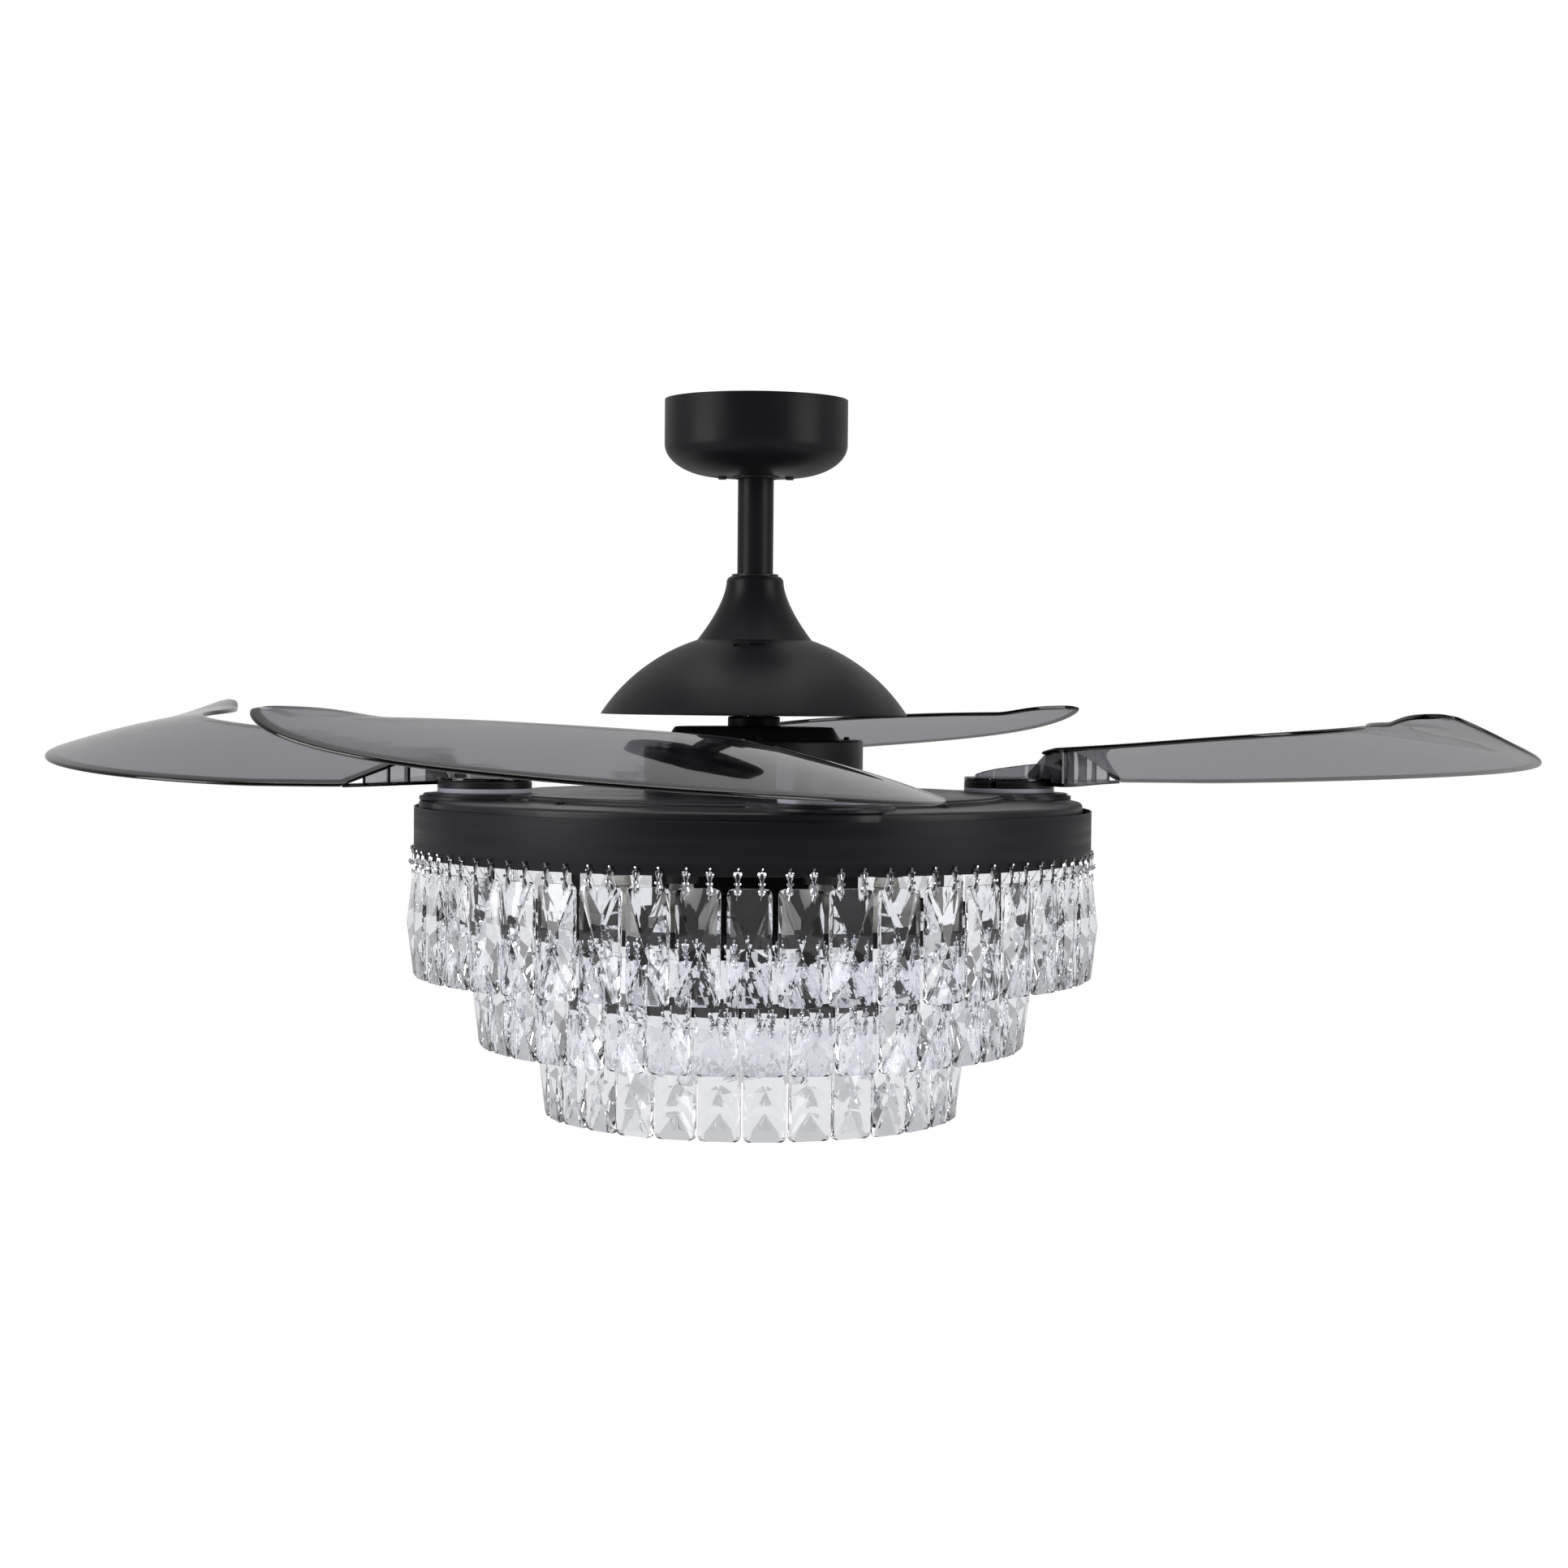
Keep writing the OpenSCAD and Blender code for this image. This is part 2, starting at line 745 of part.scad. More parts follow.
// Ring shaped sun gear that keeps the four blades in step
module sun_gear() {
    window_in = 84;
    window_out = 158;
    color(white_nylon)
        translate([0, 0, gear_top_z - gear_t])
            linear_extrude(gear_t)
                difference() {
                    rotate(first_pivot_angle)
                        gear_outline(sun_teeth);
                    circle(r = guide_ring_r + running_clearance);
                    // eight windows between spokes
                    difference() {
                        circle(r = window_out);
                        circle(r = window_in);
                        around(8, first_pivot_angle)
                            translate([0, -7])
                                square([window_out + 5, 14]);
                    }
                }
}

// Pinion on a blade's pivot shaft, a gap of its teeth towards the fan axis
module pinion(k) {
    gap_turn = pinion_teeth % 2 == 0 ? 180 / pinion_teeth : 0;
    color(white_nylon)
        rotate(pivot_angle(k))
            translate([pivot_circle_r, 0, gear_top_z - gear_t])
                linear_extrude(gear_t)
                    difference() {
                        rotate(gap_turn)
                            gear_outline(pinion_teeth);
                        circle(r = pivot_shaft_r);
                    }
}

// Direction of the pivot of blade k, from 1 to 4
function pivot_angle(k) = first_pivot_angle + (k - 1) * quarter;

module pinion_1() { pinion(1); }
module pinion_2() { pinion(2); }
module pinion_3() { pinion(3); }
module pinion_4() { pinion(4); }

flange_slot_turn = 120;
flange_slot_w = 4.6;
flange_slot_in = 25;

// Black hub under a blade: slotted flange, neck and pivot shaft down through the plate, the pinion and the cover
module pivot_hub(k) {
    color(black_gloss)
        rotate(pivot_angle(k))
            translate([pivot_circle_r, 0, 0])
                difference() {
                    rotate_extrude()
                        polygon([[0, flange_top_z], [flange_r - 0.8, flange_top_z], [flange_r, flange_top_z - 0.8],
                                 [flange_r, washer_top_z + 0.1], [pivot_shaft_r, washer_top_z + 0.1],
                                 [pivot_shaft_r, cover_under_z - 1], [0, cover_under_z - 1]]);
                    // slot in from the flange's rim
                    rotate(fold_angle + flange_slot_turn)
                        translate([flange_slot_in, -flange_slot_w / 2, washer_top_z - 1])
                            cube([flange_r, flange_slot_w, flange_top_z - washer_top_z + 2]);
                }
}

module pivot_hub_1() { pivot_hub(1); }
module pivot_hub_2() { pivot_hub(2); }
module pivot_hub_3() { pivot_hub(3); }
module pivot_hub_4() { pivot_hub(4); }

// ---------------------------------------------------------------- light kit

// Pan that closes the drum, hung from the shaft's lower end
module light_pan() {
    color(black_coat)
        difference() {
            union() {
                disc(band_inner_r, pan_top_z, pan_top_z - pan_under_z);
                // upturned rim that the band is riveted to
                ring(band_inner_r, band_inner_r - 1.4, pan_top_z + 8, 8);
                // stiffening rings
                ring(90, 86, pan_top_z + 3, 3);
                disc(20, pan_top_z + 5, 5);
            }
            translate([0, 0, pan_under_z - 1])
                cylinder(r = shaft_r, h = 20);
        }
}

// Collar above the pan and nut below it
module shaft_nut() {
    color(bright_steel)
        difference() {
            translate([0, 0, pan_under_z - 6])
                cylinder(r = 14, h = 6, $fn = 6);
            translate([0, 0, pan_under_z - 7])
                cylinder(r = shaft_r, h = 8);
        }
}

// Satin black band round the drum
module drum_band() {
    color(black_coat)
        ring(band_r, band_inner_r, band_top_z, band_h);
}

ring_h = 12;
ring_t = 1.2;
ring_2_top_z = -410.5;
ring_3_top_z = -467;
strap_w = 12;
strap_t = 1.6;
hanger_turn = 20;

function tier_drop(tier) = tier_drops[tier - 1];

module ring_2() {
    color(black_coat)
        ring(tier_radii[1], tier_radii[1] - ring_t, ring_2_top_z, ring_h);
}

module ring_3() {
    color(black_coat)
        ring(tier_radii[2], tier_radii[2] - ring_t, ring_3_top_z, ring_h);
}

// One strap that follows the inside of a ring at radius r, from the pan down to z
module ring_strap(r, z) {
    intersection() {
        union() {
            ring(r, r - strap_t, pan_under_z, pan_under_z - z);
            ring(r, r - 14, pan_under_z, 1.6);
        }
        translate([r - 15, -strap_w / 2, z - 1])
            cube([20, strap_w, 200]);
    }
}

// Straps that hang both rings from the pan
module ring_hangers() {
    color(black_coat)
        for (tier = [1, 2])
            around(4, hanger_turn + 45 * (tier - 1))
                ring_strap(tier_radii[tier] - ring_t, [0, ring_2_top_z, ring_3_top_z][tier] - ring_h);
}

hub_r = 62.7;

// Black hub in the middle of the light kit
module light_hub() {
    color(black_coat)
        rotate_extrude()
            polygon([[hub_r, pan_under_z], [hub_r, hub_bottom_z + 3], [hub_r - 3, hub_bottom_z],
                     [0, hub_bottom_z], [0, hub_bottom_z + sheet], [hub_r - 3.6, hub_bottom_z + sheet],
                     [hub_r - sheet, hub_bottom_z + 3.6], [hub_r - sheet, pan_under_z]]);
}

lamp_count = 6;
lamp_circle_r = 108;
socket_h = 34;

// Lamp holders under the pan
module lamp_holders() {
    color(black_coat)
        around(lamp_count, 0)
            translate([lamp_circle_r, 0, 0])
                rotate_extrude()
                    polygon([[0, pan_under_z], [17, pan_under_z], [17, pan_under_z - 2], [13.5, pan_under_z - 5],
                             [13.5, pan_under_z - socket_h], [0, pan_under_z - socket_h]]);
}

// Candle lamps in their holders
module lamps() {
    top = pan_under_z - socket_h;
    color([0.93, 0.93, 0.9])
        around(lamp_count, 0)
            translate([lamp_circle_r, 0, 0])
                rotate_extrude()
                    polygon(concat([[0, top], [9, top], [11, top - 10]],
                                   [for (a = [0:15:90]) [5 + 12 * cos(a) * cos(a / 2), top - 22 - 36 * sin(a)]],
                                   [[0, top - 58]]));
}

// ---------------------------------------------------------------- crystals and clips

girdle_front = 0.2;
girdle_back = -2.8;
land_h = 6.5;
corner_cut = 4;

// One cut crystal about its own middle: X right, +Y out, +Z up.
// An eight sided girdle, a flat land for the clips and facets that rise to a point in front and behind.
module crystal() {
    w = crystal_w / 2;
    h = crystal_h / 2;
    right = [[w - corner_cut, h], [w, h - corner_cut], [w, h - land_h], [w, -h + corner_cut],
             [w - corner_cut, -h]];
    outline = concat(right, [for (i = [len(right) - 1:-1:0]) [-right[i][0], right[i][1]]]);
    n = len(outline);
    points = concat([for (p = outline) [p[0], girdle_front, p[1]]],
                    [for (p = outline) [p[0], girdle_back, p[1]]],
                    [[0, crystal_t / 2, 0], [0, -crystal_t / 2, 0]]);
    front = 2 * n;
    back = 2 * n + 1;
    faces = concat(
        [[0, 9, 8], [0, 8, 1], [1, 8, 7], [1, 7, 2]],
        [[front, 2, 7]],
        [for (i = [2:6]) [front, i + 1, i]],
        [for (i = [0:n - 1]) [back, n + i, n + (i + 1) % n]],
        [for (i = [0:n - 1]) [i, (i + 1) % n, n + (i + 1) % n]],
        [for (i = [0:n - 1]) [i, n + (i + 1) % n, n + i]]);
    polyhedron(points, faces);
}

// One tier of crystals, hung round the fan axis
module crystal_tier(tier) {
    color(crystal_clear)
        around(tier_counts[tier - 1], tier_turns[tier - 1])
            translate([tier_radii[tier - 1] - girdle_front, 0, -tier_drop(tier) - crystal_h / 2])
                rotate(-90)
                    crystal();
}

module crystals_tier_1() { crystal_tier(1); }
module crystals_tier_2() { crystal_tier(2); }
module crystals_tier_3() { crystal_tier(3); }

clip_h = 17.5;
clip_w = 6.3;
clip_waist = 1.8;
clip_t = 0.9;
clip_over = 5;
clip_head_r = 1.25;
clip_head_rise = 1.85;

// Bow tie clip: two flared ends and a beaded waist, bent from flat wire, with its pin's head above
module clip_outline() {
    half = clip_h / 2;
    polygon([[-clip_w / 2, half], [0, half + 0.6], [clip_w / 2, half], [clip_waist / 2, 1.6],
             [1.8, 0], [clip_waist / 2, -1.6], [clip_w / 2, -half], [0, -half - 0.6],
             [-clip_w / 2, -half], [-clip_waist / 2, -1.6], [-1.8, 0], [-clip_waist / 2, 1.6]]);
    translate([0, half + clip_head_rise])
        circle(r = clip_head_r);
    translate([-0.5, half])
        square([1, clip_head_rise]);
}

// Two clips for each crystal of a tier, flat against the band and the crystals' lands
module clip_tier(tier) {
    n = tier_counts[tier - 1];
    pitch = 360 / n;
    mid_z = -tier_drop(tier) - clip_over + clip_h / 2;
    color(bright_steel)
        around(n, tier_turns[tier - 1])
            for (side = [-1, 1])
                translate([tier_radii[tier - 1], side * clip_offset, mid_z])
                    rotate([90, 0, 90])
                        linear_extrude(clip_t)
                            clip_outline();
}

clip_offset = 8.6;

module clips_tier_1() { clip_tier(1); }
module clips_tier_2() { clip_tier(2); }
module clips_tier_3() { clip_tier(3); }

// ---------------------------------------------------------------- blades

// A blade is described folded, about the fan axis, with its pivot at angle 0:
// psi is the angle past the pivot, clockwise from above, and s runs from 0 at the inner edge to 1 at the outer.
root_psi = 2;
arch_psi = 30;
winglet_psi = 167;
skin_rows = 36;
skin_cols = 6;
low_edge_z = -306;
low_edge_rise = 59.6;
high_root_z = -277;
high_edge_rise = 25.5;

function ease(t) = let (u = min(1, max(0, t))) u * u * (3 - 2 * u);

// 0 before a, then along an ellipse to 1 at b
function round_end(psi, a, b) = let (u = min(1, max(0, (psi - a) / (b - a)))) 1 - sqrt(1 - u * u);

// Inner edge: flared at the root, an arc beside the dome, rounded at the tip
function edge_in(psi) =
    blade_inner_r
    + 44 * pow(max(0, 1 - psi / 40), 2)
    + (blade_outer_r - 16 - blade_inner_r) * round_end(psi, 140, blade_tip_angle);

// Outer edge: an arc that matches the carrier plate, drawn in at the root and rounded at the tip
function edge_out(psi) =
    blade_outer_r
    - 10 * pow(max(0, 1 - psi / 24), 2)
    - 12 * round_end(psi, 166, blade_tip_angle);

// Height of the skin's top along the outer edge: level at first, rising steadily, then lifted at the tip
function low_z(psi) =
    let (t = max(0, (psi - 45) / (blade_tip_angle - 45)))
        low_edge_z + 4.2 * ease(1 - psi / 24)
        + low_edge_rise * (0.68 * pow(t, 1.4) + 0.32 * pow(t, 10));

// Height of the skin's top along the inner edge
function high_z(psi) =
    let (t = (psi - root_psi) / (blade_tip_angle - root_psi))
        high_root_z + high_edge_rise * (1 - pow(max(0, 1 - t), 1.6));

// Share of the blade's width that the skin fills: it draws back at the root, in an arch over the ribs
function arch_share(psi) = 0.22 + 0.78 * pow(min(1, max(0, (psi - root_psi) / (arch_psi - root_psi))), 1.3);

function skin_r(psi, s) = edge_in(psi) + s * (edge_out(psi) - edge_in(psi));

// Raised inner corner of the tip: a smooth rise past its first angle that fades across the blade
function winglet_z(psi, s) =
    winglet_h * ease((psi - winglet_psi) / (blade_tip_angle - winglet_psi)) * pow(max(0, 1 - s / 0.7), 1.5);

function skin_z(psi, s) =
    high_z(psi) + s * (low_z(psi) - high_z(psi)) + 4 * blade_camber * s * (1 - s) + winglet_z(psi, s);

function polar(r, psi, z) = [r * cos(psi), -r * sin(psi), z];

// Rows close up towards the tip, where the outline turns fastest
function row_psi(i) =
    let (t = i / skin_rows)
        root_psi + (blade_tip_angle - root_psi) * (1 - pow(1 - t, 1.35));

// Point of the skin's top in row i and at share c of its breadth
function skin_point(i, c) =
    let (psi = row_psi(i), s = c * arch_share(psi))
        polar(skin_r(psi, s), psi, skin_z(psi, s));

// Curved skin of a blade: two sheets of triangles joined round the edge, with a deeper rim along the inner edge
module blade_skin() {
    n = skin_rows;
    m = skin_cols;
    top = [for (i = [0:n]) for (j = [0:m]) skin_point(i, j / m)];
    bottom = [for (i = [0:n]) for (j = [0:m])
        let (p = skin_point(i, j / m)) [p[0], p[1], p[2] - blade_t - (j == 0 || i == n ? rim_drop : 0)]];
    w = m + 1;
    half = len(top);
    function at(i, j) = i * w + j;
    sheet_faces = [for (i = [0:n - 1]) for (j = [0:m - 1])
        each [[at(i, j), at(i, j + 1), at(i + 1, j + 1)], [at(i, j), at(i + 1, j + 1), at(i + 1, j)]]];
    under_faces = [for (f = sheet_faces) [f[2] + half, f[1] + half, f[0] + half]];
    rim = concat([for (i = [0:n - 1]) [at(i, 0), at(i + 1, 0)]],
                 [for (i = [0:n - 1]) [at(i + 1, m), at(i, m)]],
                 [for (j = [0:m - 1]) [at(0, j + 1), at(0, j)]],
                 [for (j = [0:m - 1]) [at(n, j), at(n, j + 1)]]);
    rim_faces = [for (e = rim) each [[e[0], e[1], e[1] + half], [e[0], e[1] + half, e[0] + half]]];
    polyhedron(concat(top, bottom), concat(sheet_faces, under_faces, rim_faces));
}

rim_drop = 1.4;
rib_psis = [3.2, 8.2, 15.6, 20.6, 25.8];
// Radius at which the first two ribs, which stand on the root disc, come down to it
rib_foot_r = [213, 222];
rib_t = 2;

// Radius of the arch, the skin's outer edge over the root
function arch_r(psi) = skin_r(psi, arch_share(psi));

// Radius of the inner edge of the flat plate under the root, which tapers out where the arch meets the low edge
function root_plate_in(psi) =
    arch_r(psi) - 3 - 22 * pow(max(0, 1 - (psi - root_psi) / (arch_psi - root_psi)), 0.7);

// Upright rib i between the root plate and the skin, from the plate's inner edge out to the arch.
// One of the first two goes on from there, sloping down to the root disc.
module blade_rib(i) {
    n = 4;
    psi = rib_psis[i];
    in = root_plate_in(psi) + 1;
    out = arch_r(psi) - 0.8;
    low = low_edge_z - blade_t + 0.5;
    span = edge_out(psi) - edge_in(psi);
    stations = [for (j = [0:n])
        let (r = in + (out - in) * j / n)
            [r, skin_z(psi, (r - edge_in(psi)) / span) - blade_t / 2]];
    foot = i < len(rib_foot_r)
        ? [[rib_foot_r[i], root_disc_top_z - 0.5], [rib_foot_r[i], low]]
        : [[out, low]];
    rotate(-psi)
        rotate([90, 0, 0])
            translate([0, 0, -rib_t / 2])
                linear_extrude(rib_t)
                    polygon(concat(stations, foot, [[in, low]]));
}

fin_in_r = 27;
fin_out_r = 29.5;
root_disc_h = 3;
root_disc_top_z = flange_top_z + root_disc_h;
fin_turns = [68, 204];

// Height of the fin's top at a turn about the pivot: low at its free end, high where it meets the first rib
function fin_z(turn) =
    root_disc_top_z + 2.5 + 9.2 * sin(90 * (turn - fin_turns[0]) / (fin_turns[1] - fin_turns[0]));

// Curved upright fin on the root disc, whose top rises towards the first rib
module blade_fin() {
    n = 8;
    w = 4;
    low = flange_top_z + 1;
    points = [for (i = [0:n])
        let (turn = fin_turns[0] + (fin_turns[1] - fin_turns[0]) * i / n, z = fin_z(turn))
            each [for (q = [[fin_in_r, low], [fin_out_r, low], [fin_out_r, z], [fin_in_r, z]])
                [q[0] * cos(turn), q[0] * sin(turn), q[1]]]];
    walls = [for (i = [0:n - 1]) for (j = [0:w - 1])
        let (a = i * w + j, b = i * w + (j + 1) % w)
            each [[b + w, a + w, a], [b, b + w, a]]];
    polyhedron(points, concat(walls, [[2, 1, 0], [3, 2, 0]],
                              [[n * w, n * w + 1, n * w + 2], [n * w, n * w + 2, n * w + 3]]));
}

// Clear moulded blade: cambered skin, root disc on the hub, root plate, ribs and fin
module blade_shape() {
    union() {
        blade_skin();
        translate([pivot_circle_r, 0, flange_top_z])
            cylinder(r = flange_r, h = root_disc_h);
        translate([pivot_circle_r, 0, 0])
            blade_fin();
        // root plate and ribs, clear of the hub's flange
        difference() {
            union() {
                translate([0, 0, low_edge_z - blade_t])
                    linear_extrude(blade_t - 0.2)
                        polygon(concat(
                            [for (psi = [root_psi + 0.6:3.4:arch_psi])
                                let (r = arch_r(psi)) [r * cos(psi), -r * sin(psi)]],
                            [for (psi = [arch_psi - 1.4:-3.4:root_psi])
                                let (r = root_plate_in(psi)) [r * cos(psi), -r * sin(psi)]]));
                for (i = [0:len(rib_psis) - 1])
                    blade_rib(i);
            }
            translate([pivot_circle_r, 0, low_edge_z - 10])
                cylinder(r = flange_r + 0.6, h = flange_top_z + 1 - low_edge_z + 10);
        }
    }
}

// Blade k spread: turned out about its pivot by the fold angle
module blade(k) {
    color(smoke_clear)
        rotate(pivot_angle(k))
            translate([pivot_circle_r, 0, 0])
                rotate(fold_angle)
                    translate([-pivot_circle_r, 0, 0])
                        blade_shape();
}

module blade_1() { blade(1); }
module blade_2() { blade(2); }
module blade_3() { blade(3); }
module blade_4() { blade(4); }

// ---------------------------------------------------------------- the nodes

ceiling_bracket();
canopy();
canopy_ring();
canopy_screws();
hanger_ball();
ball_cross_pin();
downrod();
downrod_collar();
coupling_cover();
motor_coupling();
coupling_pin();
motor_dome();
dome_screws();
reverse_switch_body();
run_capacitor();
motor_shaft();
stator_core();
stator_windings();
shaft_nut();
light_pan();
drum_band();
ring_hangers();
ring_2();
ring_3();
light_hub();
lamp_holders();
lamps();
crystals_tier_1();
crystals_tier_2();
crystals_tier_3();
clips_tier_1();
clips_tier_2();
clips_tier_3();
reverse_switch_knob();
rotor_can();
rotor_top_shell();
can_screws();
rotor_ring();
upper_bearing();
lower_bearing();
blade_plate();
plate_cover();
plate_screws();
pivot_washers();
sun_gear();
blade_1();
pivot_hub_1();
pinion_1();
blade_2();
pivot_hub_2();
pinion_2();
blade_3();
pivot_hub_3();
pinion_3();
blade_4();
pivot_hub_4();
pinion_4();
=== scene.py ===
"""Dressing of a retractable blade ceiling fan with a three tier crystal light kit.

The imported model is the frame. Every shell that shows is built here as a fine surface, in millimetres, and
stands for its plain solid. The front faces -Y, the ceiling is z = 0 and the fan axis is x = y = 0.
"""
import json
import math

import bmesh
import bpy
import numpy as np
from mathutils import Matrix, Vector


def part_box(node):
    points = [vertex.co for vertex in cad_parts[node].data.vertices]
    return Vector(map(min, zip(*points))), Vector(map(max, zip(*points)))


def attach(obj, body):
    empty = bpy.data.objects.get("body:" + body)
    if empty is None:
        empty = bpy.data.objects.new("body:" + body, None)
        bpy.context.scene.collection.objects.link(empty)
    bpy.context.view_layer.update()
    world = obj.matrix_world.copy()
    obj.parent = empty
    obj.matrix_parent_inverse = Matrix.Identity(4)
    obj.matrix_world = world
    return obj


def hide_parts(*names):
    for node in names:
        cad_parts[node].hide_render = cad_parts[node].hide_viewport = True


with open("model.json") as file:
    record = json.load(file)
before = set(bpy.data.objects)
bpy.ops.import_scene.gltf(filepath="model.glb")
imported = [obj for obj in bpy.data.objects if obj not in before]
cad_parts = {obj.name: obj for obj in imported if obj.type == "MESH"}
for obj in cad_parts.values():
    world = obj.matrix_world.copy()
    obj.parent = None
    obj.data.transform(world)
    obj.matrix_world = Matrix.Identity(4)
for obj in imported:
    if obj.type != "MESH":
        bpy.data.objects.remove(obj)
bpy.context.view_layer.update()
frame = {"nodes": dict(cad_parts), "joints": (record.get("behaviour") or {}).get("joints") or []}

bl_info = {
    "name": "Retractable Blade Ceiling Fan",
    "version": (1, 0, 0),
    "blender": (4, 5, 0),
    "location": "View3D > Sidebar > Fan",
    "description": "Builds the fan's shells, blades, crystals and studio round its packed model",
    "category": "Add Mesh",
}

NODES = frame["nodes"]
MM = 0.001


def joint(name):
    """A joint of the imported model. An unknown name raises."""
    return {each["name"]: each for each in frame["joints"]}[name]


def node_box(name):
    """Lowest and highest corner of a node, in millimetres."""
    low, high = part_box(name)
    return np.array(low) / MM, np.array(high) / MM


def heights(name):
    """Lowest and highest level of a node, in millimetres."""
    low, high = node_box(name)
    return low[2], high[2]


def outer_radius(name):
    """Half the width of a round node that is centred on the fan axis, in millimetres."""
    low, high = node_box(name)
    return float(max(high[0] - low[0], high[1] - low[1]) / 2)


PIVOT = np.array(joint("blade_1_fold")["pos_m"]) / MM
PIVOT_R = float(np.hypot(PIVOT[0], PIVOT[1]))
PIVOT_TURN = math.degrees(math.atan2(PIVOT[1], PIVOT[0]))
FOLD = -joint("blade_1_fold")["range_deg"][0]
BLADES = (1, 2, 3, 4)


# ------------------------------------------------------------------ settings

def setting(name, default, description, **kind):
    """A property that holds a number, with its unit, subtype or least value."""
    return bpy.props.FloatProperty(name=name, description=description, default=default, **kind)


def length(name, default, description):
    """A property that holds a size in millimetres."""
    return setting(name, default, description, min=0.0)


def colour(name, default, description):
    """A property that holds a colour as sRGB hex."""
    return bpy.props.StringProperty(name=name, description=description, default=default)


class FanFinishes(bpy.types.PropertyGroup):
    """Colours of the fan's finishes, as sRGB hex."""
    coat: colour("Powder coat", "#161519", "Satin black of the canopy, rod, cone, dome and drum")
    # Painted shade: the hub's black is darker than the coat for its place in shade inside the drum
    hub: colour("Hub paint", "#0c0b0f", "Matt black of the lamp hub inside the drum")
    enamel: colour("Enamel", "#1d1c21", "Glossier black of the blade carrier and the hubs")
    smoke: colour("Smoke tint", "#6f6e8a", "Tint that the blades' clear plastic gives to what is behind it")
    # Painted shade: the rims and ribs of the clear blades are painted this near black, for the light that
    # they trap
    rim: colour("Rim", "#15151d", "Tint of the blades' rims and ribs")
    crystal: colour("Crystal", "#fbfcff", "Tint of the cut glass")
    chrome: colour("Chrome", "#d9dade", "Plating of the clips")
    washer: colour("Washer", "#a9a9b6", "Pale washers under the blade hubs")
    lamp: colour("Lamp", "#eceae4", "Frosted lamps")


class FanSizes(bpy.types.PropertyGroup):
    """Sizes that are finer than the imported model, in millimetres."""
    lip: length("Lip", 0.8, "Rounding of sheet metal edges")
    skin: length("Blade skin", 3.0, "Thickness of a blade's clear skin")
    camber: length("Blade camber", 3.0, "Rise of the skin above a straight line across the blade")
    winglet: length("Winglet", 6.5, "Rise of the raised corner at a blade's tip")
    rim_drop: length("Rim drop", 1.4, "How much deeper a blade's inner rim is than its skin")
    crystal_depth: length("Crystal depth", 11.8, "Thickness of a crystal at its middle")
    clip_depth: length("Clip depth", 3.4, "Thickness of a clip at its beads")


class FanStage(bpy.types.PropertyGroup):
    """Camera and floor height of the studio."""
    lens: setting("Lens", 65.2, "Focal length for a 36 mm sensor", unit="CAMERA")
    distance: setting("Distance", 2.287, "Camera to fan axis", unit="LENGTH")
    eye: setting("Eye height", -0.232, "Camera height, measured from the ceiling", unit="LENGTH")
    pitch: setting("Pitch", math.radians(1.9), "How far the camera looks down", subtype="ANGLE")
    aside: setting("Aside", 0.024, "How far right of the axis the camera stands", unit="LENGTH")
    roll: setting("Roll", math.radians(0.5), "How far the camera is tilted to the left", subtype="ANGLE")
    floor: setting("Floor", -1.5, "Height of the floor", unit="LENGTH")


# ------------------------------------------------------------------ surfaces

def deg(angle):
    """Sine and cosine of an angle in degrees."""
    return np.sin(np.radians(angle)), np.cos(np.radians(angle))


def turned(points, angle, centre=(0.0, 0.0)):
    """Points turned about an upright axis: x' = cx + dx cos - dy sin, y' = cy + dx sin + dy cos."""
    sine, cosine = deg(angle)
    out = np.array(points, float)
    dx, dy = out[..., 0] - centre[0], out[..., 1] - centre[1]
    out[..., 0] = centre[0] + dx * cosine - dy * sine
    out[..., 1] = centre[1] + dx * sine + dy * cosine
    return out


def grid_quads(rows, columns, close_rows=False):
    """Quads of a grid whose rows are closed loops. Where closed, the last row joins the first."""
    i, j = np.meshgrid(np.arange(rows if close_rows else rows - 1), np.arange(columns), indexing="ij")
    down, right = (i + 1) % rows, (j + 1) % columns
    return np.stack([i * columns + j, i * columns + right, down * columns + right, down * columns + j],
                    axis=-1).reshape(-1, 4)


def capped(rows, columns):
    """Quads of a grid whose rows are closed loops, with one flat face over the first loop and the last."""
    loop = np.arange(columns)
    return [grid_quads(rows, columns), loop[None, ::-1], (loop + (rows - 1) * columns)[None, :]]


def filleted(corners, steps=4):
    """Outline of a section: a corner (r, z, radius) is cut by a round of that radius, a quadratic curve
    whose ends lie one radius along each side and whose handle is the corner. (r, z) stays sharp."""
    points = []
    corners = [tuple(c) if len(c) == 3 else (c[0], c[1], 0.0) for c in corners]
    for k, (r, z, radius) in enumerate(corners):
        here = np.array([r, z])
        if radius <= 0:
            points.append(here)
            continue
        before = np.array(corners[k - 1][:2]) - here
        after = np.array(corners[(k + 1) % len(corners)][:2]) - here
        reach_a = min(radius, np.linalg.norm(before) * 0.5)
        reach_b = min(radius, np.linalg.norm(after) * 0.5)
        a = here + before / np.linalg.norm(before) * reach_a
        b = here + after / np.linalg.norm(after) * reach_b
        t = np.linspace(0, 1, steps + 1)[:, None]
        points.extend((1 - t) ** 2 * a + 2 * t * (1 - t) * here + t ** 2 * b)
    return np.array(points)


def lathe(section, turns):
    """Surface of revolution of a closed section (r, z): x = r cos a, y = r sin a, z = z.
    The section runs so that the surface faces outwards."""
    section = np.asarray(section, float)
    angle = np.radians(np.arange(turns) * 360.0 / turns)
    r, z = section[:, 0], section[:, 1]
    x = np.outer(np.cos(angle), r)
    y = np.outer(np.sin(angle), r)
    points = np.stack([x, y, np.broadcast_to(z, x.shape)], axis=-1).reshape(-1, 3)
    return points, grid_quads(turns, len(section), close_rows=True)


